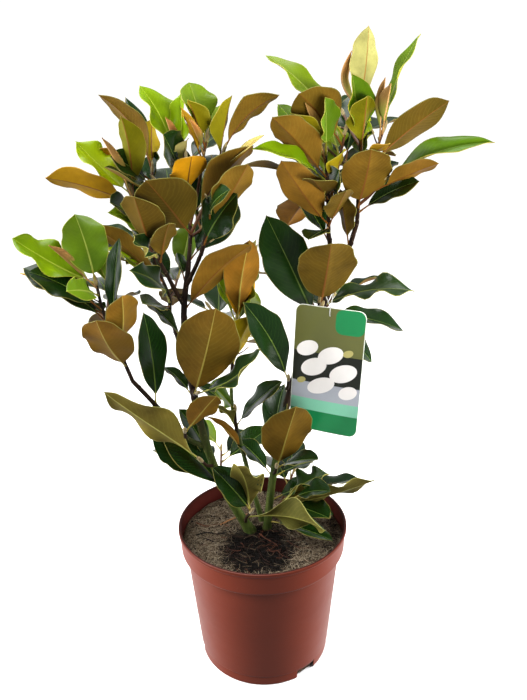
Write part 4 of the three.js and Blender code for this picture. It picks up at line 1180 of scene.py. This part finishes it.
def limb_radius(limb, curve, phase):
    """Radius of a limb with its root flare, the scars of old leaves and the bark's relief."""
    length = curve.length()

    def radius(share, angle):
        run = share * length
        rise = max(0, run - FOOT_DEPTH)
        flare = BARK["flare_share"] * limb.get("flare", 0)
        flare *= math.exp(-BARK["flare_fade"] * rise / FLARE_HEIGHT)
        flare *= 1 + BARK["lobe_depth"] * math.cos(BARK["lobes"] * angle + phase)
        size = mix(*limb["radii"], share)
        place = Vector((math.cos(angle) * size, math.sin(angle) * size, 0)) + curve.point(share)
        place = Vector([c / grain for c, grain in zip(place, BARK["grain"])])
        relief = BARK["relief"] * noise.fractal(place, *BARK["fractal"])
        scar = run / BARK["scar_step"] + phase
        ring = math.exp(-(((scar % 1) - 0.5) * BARK["scar_step"] / BARK["scar_width"]) ** 2)
        facing = max(0, math.cos(angle - math.floor(scar) * math.radians(GOLDEN_ANGLE)))
        mark = ring * BARK["scar_height"] * (BARK["scar_back"] + facing)
        return size * (1 + relief) + flare + mark

    return radius


def twig_radius(curve, radii, phase):
    """Radius of a twig, with a slight swelling at each old leaf's place."""
    length, step = curve.length(), TWIG["node_step"]

    def radius(share, angle):
        beat = (share * length / step + phase) % 1 - 0.5
        node = TWIG["node_height"] * math.exp(-((beat * step / TWIG["node_width"]) ** 2))
        return mix(*radii, share) + node * (0.5 + 0.5 * math.cos(angle + phase))

    return radius


def add_bud(parts, curve, radius, long):
    """Pointed bud in its silky scale at a shoot's tip."""
    tip, along = curve.point(1), curve.tangent(1)
    route = Route([tip - along * BUD["sink"], tip + along * (long / 2), tip + along * long])
    add_bulge(parts, route, radius * BUD["swell"], BUD, "bud")


def spur_radius(share, _):
    return mix(*SPUR["radii"], share)


def add_spurs(parts, curve, look, dice):
    """Finer twigs on a twig that is long enough, each with a bud at its tip."""
    if curve.length() < SPUR["least"]:
        return
    around = dice.uniform(0, 360)
    for i in range(SPUR["count"]):
        share = (i + dice.uniform(*SPUR["place"])) / SPUR["count"]
        foot, axis = curve.point(share), curve.tangent(share)
        along = away_from(axis, around + i * GOLDEN_ANGLE, dice.uniform(*SPUR["open"]))
        long = dice.uniform(*SPUR["long"])
        sag = Vector((0, 0, long * SPUR["sag"]))
        route = Route([foot, foot + along * (long / 2) - sag, foot + along * long])
        add_tube(parts, route, spur_radius, look, SPUR["sides"], SPUR["step"])
        add_bud(parts, route, SPUR["radii"][1], SPUR["bud"])


def make_limb(index, name, limb, dice):
    """A limb's bark, and the leaves that grow straight from it."""
    bark, stalks, blades = MeshParts(), MeshParts(), MeshParts()
    curve = Route(limb["route"])
    radius = limb_radius(limb, curve, index * BARK["phase"])
    add_tube(bark, curve, radius, limb.get("look", "bark"), BARK["sides"], BARK["step"])
    dress(bark.build(f"bark_{name}"), "bark", name)
    leaves = leaves_on(MORE_LEAVES, name, [curve])
    if leaves:
        add_leaves(leaves, stalks, blades, dice)
        dress(stalks.build(f"stalks_on_{name}"), "bark", name)
        dress(blades.build(f"leaves_on_{name}"), "foliage", name)


def make_mass(name, mass, chance, dice):
    """A mass's stems and twigs in one piece and its leaves in another."""
    wood, leaves = grow(name, mass, chance)
    twigs, blades = MeshParts(), MeshParts()
    for i, (curve, radii) in enumerate(wood):
        look = "young_wood" if i else "shoot_wood"
        radius = twig_radius(curve, radii, i * TWIG["phase"])
        add_tube(twigs, curve, radius, look, TWIG["sides"], TWIG["step"])
        add_bud(twigs, curve, radii[1], BUD["long"])
        add_spurs(twigs, curve, look, dice)
    add_leaves(leaves, twigs, blades, dice)
    dress(twigs.build(name.replace("foliage", "twigs")), "bark", name)
    dress(blades.build(name.replace("foliage", "leaves")), "foliage", name)


# ---------------------------------------------------------------- pot


def rounded(profile, steps=6):
    """A profile's places with its corners rounded: each is (r, z, reach of the rounding)."""
    places = []
    last = len(profile) - 1
    for i, (r, z, reach) in enumerate(profile):
        here = Vector((r, z))
        if reach == 0 or i in (0, last):
            places.append(here)
            continue
        before = Vector(profile[i - 1][:2]) - here
        after = Vector(profile[i + 1][:2]) - here
        start = here + before.normalized() * min(reach, before.length * 0.48)
        end = here + after.normalized() * min(reach, after.length * 0.48)
        for k in range(steps + 1):
            t = k / steps
            places.append(start * (1 - t) ** 2 + here * (2 * t * (1 - t)) + end * t**2)
    return places


def rounded_box(name, size, centre, toward):
    mesh = bpy.data.meshes.new(name)
    work = bmesh.new()
    reach = DRAIN_SLOT["rounding"] * MM
    bmesh.ops.create_cube(work, size=1)
    bmesh.ops.scale(work, vec=Vector(size) * MM, verts=work.verts)
    bmesh.ops.bevel(work, geom=work.edges[:], offset=reach, segments=3, affect="EDGES", profile=0.5)
    bmesh.ops.translate(work, vec=Vector(centre) * MM, verts=work.verts)
    bmesh.ops.rotate(work, matrix=Matrix.Rotation(math.radians(toward), 3, "Z"), verts=work.verts)
    work.to_mesh(mesh)
    work.free()
    return put(name, mesh)


def cut_by(piece, cutters):
    """Cuts the bodies out of a piece and deletes them."""
    for cutter in cutters:
        modifier = piece.modifiers.new("cut", "BOOLEAN")
        modifier.operation = "DIFFERENCE"
        modifier.solver = "EXACT"
        modifier.object = cutter
    depsgraph = bpy.context.evaluated_depsgraph_get()
    mesh = bpy.data.meshes.new_from_object(piece.evaluated_get(depsgraph))
    piece.modifiers.clear()
    piece.data = mesh
    for cutter in cutters:
        bpy.data.objects.remove(cutter)


def make_pot():
    """Turned shell with a collar, a lip and drain slots. Its inside and the lip's top have a darker
    look of their own, which is painted shade.
    """
    foot, wall, top, sides = POT["foot_radius"], POT["wall"], POT["height"], POT_SIDES
    lip_foot = top - POT["lip_height"]
    profile = rounded([
        (0, 1.2, 0),
        (foot - 9, 1.2, 2),
        (foot - 6, 0, 1.5),
        (foot, 0, 2.2),
        (foot + 0.2, POT["foot_height"], 0.5),
        (POT["wall_foot_radius"], POT["foot_height"] + 0.9, 0.7),
        (POT["wall_top_radius"], COLLAR_FOOT - 0.9, 0.6),
        (POT["collar_foot_radius"] - 0.9, COLLAR_FOOT - 0.2, 1.1),
        (POT["collar_foot_radius"], COLLAR_FOOT + 1.5, 1.3),
        (POT["collar_top_radius"], lip_foot - 1, 0.8),
        (POT["lip_radius"], lip_foot, 0.8),
        (POT["lip_radius"], top, 1.4),
        (POT["collar_top_radius"] - wall, top, 1.1),
        (POT["collar_foot_radius"] - wall, COLLAR_FOOT + 1, 1.5),
        (POT["wall_top_radius"] - wall, COLLAR_FOOT - 2, 1),
        (foot - wall, POT["floor"], 2),
        (0, POT["floor"], 0),
    ])
    highest = max(place.y for place in profile) - 0.1
    turn = next(i for i, place in enumerate(profile) if place.y > highest)
    rings = [[(x, y, place.y) for x, y in circle(place.x, sides)] for place in profile[1:-1]]
    # The inside and the lip's top take the painted shade look.
    looks = ["pot_plastic"] * (sides * (turn - 1)) + ["pot_inside"] * (sides * (len(rings) - turn))
    looks += ["pot_plastic", "pot_inside"] * sides
    parts = MeshParts()
    parts.add_turned(rings, (0, 0, profile[0].y), (0, 0, profile[-1].y), looks)
    piece = parts.build("pot_shell")
    size = (DRAIN_SLOT["deep"], DRAIN_SLOT["wide"], 2 * DRAIN_SLOT["tall"])
    cut_by(piece, [rounded_box("slot", size, (foot, 0, 0), way) for way in DRAIN_SLOT["towards"]])
    dress(piece, "pot", "pot")


# ---------------------------------------------------------------- soil


def soil_height(x, y):
    """Height of the rough soil top: crumbs and low mounds, and a dip along the pot's wall."""
    into = (math.hypot(x, y) - SOIL_RADIUS + SOIL["edge_width"]) / SOIL["edge_width"]
    dip = SOIL["edge_drop"] * max(0, min(1, into)) ** 1.5
    wide, small = ROUGH["mound"], ROUGH["clod"]
    mounds = noise.noise(Vector((x / wide, y / wide, 3.1))) * ROUGH["mound_height"]
    clods = noise.fractal(Vector((x / small, y / small, 8.4)), *ROUGH["fractal"])
    return SOIL["level"] + mounds + clods * ROUGH["clod_height"] - dip - ROUGH["sink"]


def soil_place(dice):
    """Chance place on the soil, a little inside its edge."""
    r = (SOIL_RADIUS - LOOSE_EDGE) * math.sqrt(dice.random())
    angle = dice.uniform(0, FULL_TURN)
    return r * math.cos(angle), r * math.sin(angle)


def make_soil():
    """Rough top in rings that lie closer towards the edge, and a smooth body under it."""
    count, sides, floor = GROUND["rings"], GROUND["sides"], POT["floor"] + TIE["gap"]
    radii = [SOIL_RADIUS * (i / count) ** GROUND["crowding"] for i in range(1, count + 1)]
    rings = [[(x, y, soil_height(x, y)) for x, y in circle(r, sides)] for r in radii]
    rings += [[(x, y, z) for x, y in circle(r, sides)] for r, z in (
        (SOIL_RADIUS, COLLAR_FOOT + 1.5),
        (POT["wall_top_radius"] - POT["wall"] - 0.5, COLLAR_FOOT - 2),
        (POT["foot_radius"] - POT["wall"] - 1.5, floor),
    )]
    parts = MeshParts()
    parts.add_turned(rings, (0, 0, soil_height(0, 0)), (0, 0, floor), "soil", over=True)
    dress(parts.build("soil_body"), "soil", "root_ball")


def is_wet(x, y):
    out_x, out_y = (x - WET["centre"][0]) / WET["wide"], (y - WET["centre"][1]) / WET["long"]
    return math.hypot(out_x, out_y) < WET["reach"]


def thinning(radius, sizes):
    """Radius of a strand, which thins from its foot to its tip."""
    foot, loss = sizes["thin"]
    return lambda s, _: radius * (foot - loss * s)


def add_fibre(parts, start, toward, long, radius, dice, look):
    """Thin curved strand that lies on the soil."""
    places = []
    x, y = start
    for _ in range(FIBRES["steps"]):
        if math.hypot(x, y) > SOIL_RADIUS - FIBRES["edge"]:
            break
        lift = radius + dice.uniform(*FIBRES["lift"])
        places.append((x, y, soil_height(x, y) + lift))
        toward += dice.uniform(*FIBRES["turn"])
        x += long / FIBRES["steps"] * math.cos(math.radians(toward))
        y += long / FIBRES["steps"] * math.sin(math.radians(toward))
    if len(places) > 2:
        step = long / (FIBRES["steps"] + 1)
        add_tube(parts, Route(places), thinning(radius, FIBRES), look, FIBRES["sides"], step)


def add_root(parts, look, radius, places, height):
    """Root that lies on the soil through those places."""
    curve = Route([(x, y, soil_height(x, y) + height) for x, y in places])
    add_tube(parts, curve, thinning(radius, ROOT), look, ROOT["sides"], ROOT["step"])


def loose_loop(dice):
    """Look, radius, places and height of a loose strand in or near the wet patch."""
    x = WET["centre"][0] + dice.gauss(0, LOOPS["spread"][0]) * WET["wide"]
    y = WET["centre"][1] + dice.gauss(0, LOOPS["spread"][1]) * WET["long"]
    heading, turn = dice.uniform(0, FULL_TURN), dice.uniform(*LOOPS["turn"])
    step = dice.uniform(*LOOPS["long"]) / (LOOPS["places"] - 1)
    places = []
    for _ in range(LOOPS["places"]):
        places.append((x, y))
        x += step * math.cos(heading)
        y += step * math.sin(heading)
        heading += turn
    look = dice.choice(LOOPS["looks"])
    return look, dice.uniform(*LOOPS["radius"]), places, dice.uniform(*LOOPS["height"])


def make_soil_fibres(dice):
    pale, dark = MeshParts(), MeshParts()
    for _ in range(FIBRES["count"]):
        place = soil_place(dice)
        wet = is_wet(*place)
        look = "fibre_dark"
        if not wet and dice.random() >= FIBRES["dark"]:
            look = dice.choice(["fibre_pale", "fibre_dry"])
        long, radius = dice.uniform(*FIBRES["long"]), dice.uniform(*FIBRES["radius"])
        if wet and dice.random() < FIBRES["left_out"]:
            continue
        parts = dark if look == "fibre_dark" else pale
        add_fibre(parts, place, dice.uniform(0, 360), long, radius, dice, look)
    for root in ROOTS:
        add_root(dark, *root)
    for _ in range(LOOPS["count"]):
        loop = loose_loop(dice)
        if all(math.hypot(x, y) < SOIL_RADIUS - LOOSE_EDGE for x, y in loop[2]):
            add_root(dark, *loop)
    dress(pale.build("soil_fibres_pale"), "soil", "root_ball")
    dress(dark.build("soil_fibres_dark"), "soil", "root_ball")


def make_crumbs(dice):
    """Crumbs of soil, bark chips and grit that lie on top."""
    parts = MeshParts()
    for _ in range(CRUMBS["count"]):
        x, y = soil_place(dice)
        size = dice.uniform(*CRUMBS["size"])
        turn = Euler([dice.uniform(0, 6.3) for _ in range(3)]).to_matrix()
        squash = Vector((1, *(dice.uniform(*flat) for flat in CRUMBS["flat"])))
        centre = Vector((x, y, soil_height(x, y) + size * CRUMBS["lift"]))
        points = []
        for corner in CRUMB_CORNERS:
            sizes = [c * s * size * dice.uniform(*CRUMBS["uneven"]) for c, s in zip(corner, squash)]
            points.append(centre + turn @ Vector(sizes))
        dark = is_wet(x, y) or dice.random() < CRUMBS["dark"]
        parts.add(points, CRUMB_FACES, "fibre_dark" if dark else "fibre_dry")
    dress(parts.build("soil_crumbs", smooth=False), "soil", "root_ball")


# ---------------------------------------------------------------- tag


TAG_TURN = Euler([math.radians(TAG[key]) for key in ("pitch", "sway", "yaw")])
TAG_MATRIX = Matrix.Translation(TAG["centre"]) @ TAG_TURN.to_matrix().to_4x4()


def card_point(x, z, out):
    """Place on the slightly bowed card, that far out of its front face."""
    bow = CARD["bow"] * (1 - (2 * x / TAG["wide"]) ** 2) + CARD["curl"] * (z / TAG["tall"]) ** 2
    return TAG_MATRIX @ Vector((x, -(bow - CARD["bow"] / 2 + out), z))


def card_reach(x):
    """Half the card's height at that place, which is less in its rounded corners."""
    into = max(0, abs(x) - (TAG["wide"] / 2 - TAG["corner"]))
    return TAG["tall"] / 2 - TAG["corner"] + math.sqrt(max(0, TAG["corner"] ** 2 - into**2))


def make_card():
    """Bowed card of the tag with its rounded corners and its hole."""
    flat, steps, columns = TAG["wide"] / 2 - TAG["corner"], CARD["corner_steps"], CARD["columns"]
    corner = [flat + TAG["corner"] * math.sin(math.pi / 2 * k / steps) for k in range(steps + 1)]
    middle = [flat * k / columns for k in range(1 - columns, columns)]
    xs = [-x for x in reversed(corner)] + middle + corner
    ups = [2 * i / CARD["rows"] - 1 for i in range(CARD["rows"] + 1)]
    faces = (0.5 * CARD["thick"], -0.5 * CARD["thick"])
    points = [card_point(x, card_reach(x) * up, out) for out in faces for x in xs for up in ups]
    looks = ("card_front", "card_back")
    parts, hole = MeshParts(), MeshParts()
    parts.add_slab(points, len(xs), len(ups), lambda _: looks, "card_back", over=True)
    piece = parts.build("tag_card")
    high = TAG["tall"] / 2 - TAG["hole_drop"]
    route = Route([TAG_MATRIX @ Vector((0, y, high)) for y in (-6, 0, 6)])
    add_tube(hole, route, lambda *_: TAG["hole_radius"], "card_back", CARD["hole_sides"], 4)
    cut_by(piece, [hole.build("hole")])
    dress(piece, "tag", "tag")


def oval(x, z, wide, tall, turn, sides=40):
    """Outline of an oval as the card's front shows it, counter-clockwise from -Y."""
    c, s = math.cos(math.radians(turn)), math.sin(math.radians(turn))
    places = [(wide / 2 * a, tall / 2 * b) for a, b in circle(1, sides)]
    return [(x + a * c - b * s, z + a * s + b * c) for a, b in places]


def field(left, right, low, high, reach, steps=5, edge_steps=8):
    """Outline of a rectangle with rounded corners, counter-clockwise as seen from -Y."""
    places = []
    for x, z, start in ((right, high, 0), (left, high, 90), (left, low, 180), (right, low, 270)):
        cx = x - reach if x == right else x + reach
        cz = z - reach if z == high else z + reach
        for k in range(steps + 1):
            angle = math.radians(start + 90 * k / steps)
            places.append((cx + reach * math.cos(angle), cz + reach * math.sin(angle)))
    full = []
    for a, b in zip(places, places[1:] + places[:1]):
        shares = [k / edge_steps for k in range(edge_steps)]
        full += [(mix(a[0], b[0], share), mix(a[1], b[1], share)) for share in shares]
    return full


def make_print():
    """Print in plain shapes, each a fan of rings about its middle, just proud of the card."""
    parts, rings = MeshParts(), CARD["rings"]
    for layer, (look, shape, sizes) in enumerate(PRINT):
        outline = {"field": field, "oval": oval}[shape](*sizes)
        out = CARD["thick"] / 2 + PRINT_LAYERS["first"] + PRINT_LAYERS["step"] * layer
        count = len(outline)
        middle = [sum(c) / count for c in zip(*outline)]
        points = [card_point(*middle, out)]
        for k in range(1, rings + 1):
            for place in outline:
                x, z = (mix(m, p, k / rings) for m, p in zip(middle, place))
                points.append(card_point(x, z, out))
        faces = [(0, 1 + k, 1 + (k + 1) % count) for k in range(count)]
        parts.add(points, faces + turned_over(ring_faces(rings, count, 1)), look)
    dress(parts.build("tag_print"), "tag", "tag")


def make_tie():
    """Cord through the tag's hole and over its top edge, round the stem to a knot."""
    drop, knot = TAG["hole_drop"], TIE["knot_radius"]
    thick = TIE["radius"] * CORD["share"]
    stem = LIMBS["stem_right"]
    middle = Route(stem["route"]).point(TIE["stem_share"])
    reach = mix(*stem["radii"], TIE["stem_share"]) + TIE["radius"] + TIE["seat"]

    def on_tag(out, up):
        return TAG_MATRIX @ Vector((0, -out, TAG["tall"] / 2 - drop + up))

    def round_stem(*ways):
        return [middle + aim(toward, 0) * reach for toward in ways]

    in_hole = TAG["hole_radius"] - TIE["radius"] - TIE["gap"]
    route = round_stem(100, 150, 200)
    route += [on_tag(-6, in_hole + 2), on_tag(0, in_hole), on_tag(3, in_hole + 3)]
    route += [on_tag(2.5, drop), on_tag(0, drop + TIE["over_top"])]
    route += round_stem(-15, 40, 96)
    parts = MeshParts()
    add_tube(parts, Route(route), lambda *_: thick, "tie_cord", CORD["sides"], CORD["step"])
    upright = Route([route[0] + Vector((0, 0, z)) for z in (-knot, 0, knot)])
    add_bulge(parts, upright, knot, KNOT, "tie_cord")
    dress(parts.build("tie"), "tie", "tag_tie")


# ---------------------------------------------------------------- camera, stage and light


def make_camera():
    data = bpy.data.cameras.new("camera")
    data.lens = CAMERA["lens"]
    data.sensor_width = CAMERA["sensor"]
    camera = put("camera", data)
    pitch, yaw, roll = (math.radians(CAMERA[key]) for key in ("pitch", "yaw", "roll"))
    level = math.cos(pitch)
    ahead = Vector((math.sin(yaw) * level, math.cos(yaw) * level, -math.sin(pitch)))
    right = Vector((math.cos(yaw), -math.sin(yaw), 0))
    up = right.cross(ahead)
    rolled_right = math.cos(roll) * right + math.sin(roll) * up
    rolled_up = math.cos(roll) * up - math.sin(roll) * right
    turn = Matrix((rolled_right, rolled_up, -ahead)).transposed().to_4x4()
    camera.matrix_world = Matrix.Translation(CAMERA["place"]) @ turn
    bpy.context.scene.camera = camera


def make_stage():
    mesh = bpy.data.meshes.new("floor")
    corners = [(-1, -1), (1, -1), (1, 1), (-1, 1)]
    points = [(x * FLOOR_REACH, y * FLOOR_REACH, 0) for x, y in corners]
    mesh.from_pydata(points, [], [(0, 1, 2, 3)])
    mesh.materials.append(material("floor"))
    floor = put("floor", mesh)
    floor.visible_glossy = False
    floor.visible_diffuse = False


def make_light(name, place, target, size, power, spread):
    data = bpy.data.lights.new(name, "AREA")
    data.shape = "RECTANGLE"
    data.size, data.size_y = size
    data.energy = power
    data.spread = math.radians(spread)
    light = put(name, data)
    light.visible_glossy = name not in FILLS
    light.location = place
    light.rotation_euler = (Vector(target) - Vector(place)).to_track_quat("-Z", "Y").to_euler()


def make_sun():
    data = bpy.data.lights.new("sky", "SUN")
    data.energy = SUN["strength"]
    data.angle = math.radians(SUN["spread"])
    put("sky", data).rotation_euler = [math.radians(angle) for angle in SUN["tilt"]]


def make_world():
    """Room that is pale behind the plant, and darker overhead and on the camera's side."""
    world = bpy.data.worlds.new("studio")
    world.use_nodes = True
    tree = world.node_tree
    looked_in = add_node(tree, "TexCoord").outputs["Generated"]
    split = add_node(tree, "SeparateXYZ", {0: looked_in}).outputs
    strength = ROOM["pale"]
    for axis, (start, end, least) in ROOM["grades"].items():
        inputs = {"Value": split[axis], "From Min": start, "From Max": end, "To Min": least}
        share = add_node(tree, "MapRange", inputs, interpolation_type="SMOOTHSTEP").outputs
        inputs = {0: share["Result"], 1: strength}
        strength = add_node(tree, "Math", inputs, operation="MULTIPLY").outputs[0]
    background = tree.nodes["Background"].inputs
    feed(tree, strength, background["Strength"])
    feed(tree, (1, 1, 1), background["Color"])
    bpy.context.scene.world = world
    bpy.context.scene.view_settings.view_transform = "Standard"


# ---------------------------------------------------------------- the plant

make_camera()
make_stage()
make_world()
make_sun()
for row in LIGHTS:
    make_light(*row)

for index, (name, limb) in enumerate(LIMBS.items()):
    make_limb(index, name, limb, random.Random(SEED - index - 1))
chance = random_from(SEED)
for index, (name, mass) in enumerate(MASSES.items()):
    make_mass(name, mass, chance, random.Random(SEED + index))
make_pot()
make_soil()
make_soil_fibres(random.Random(SEED))
make_crumbs(random.Random(SEED + 1))
make_card()
make_print()
make_tie()
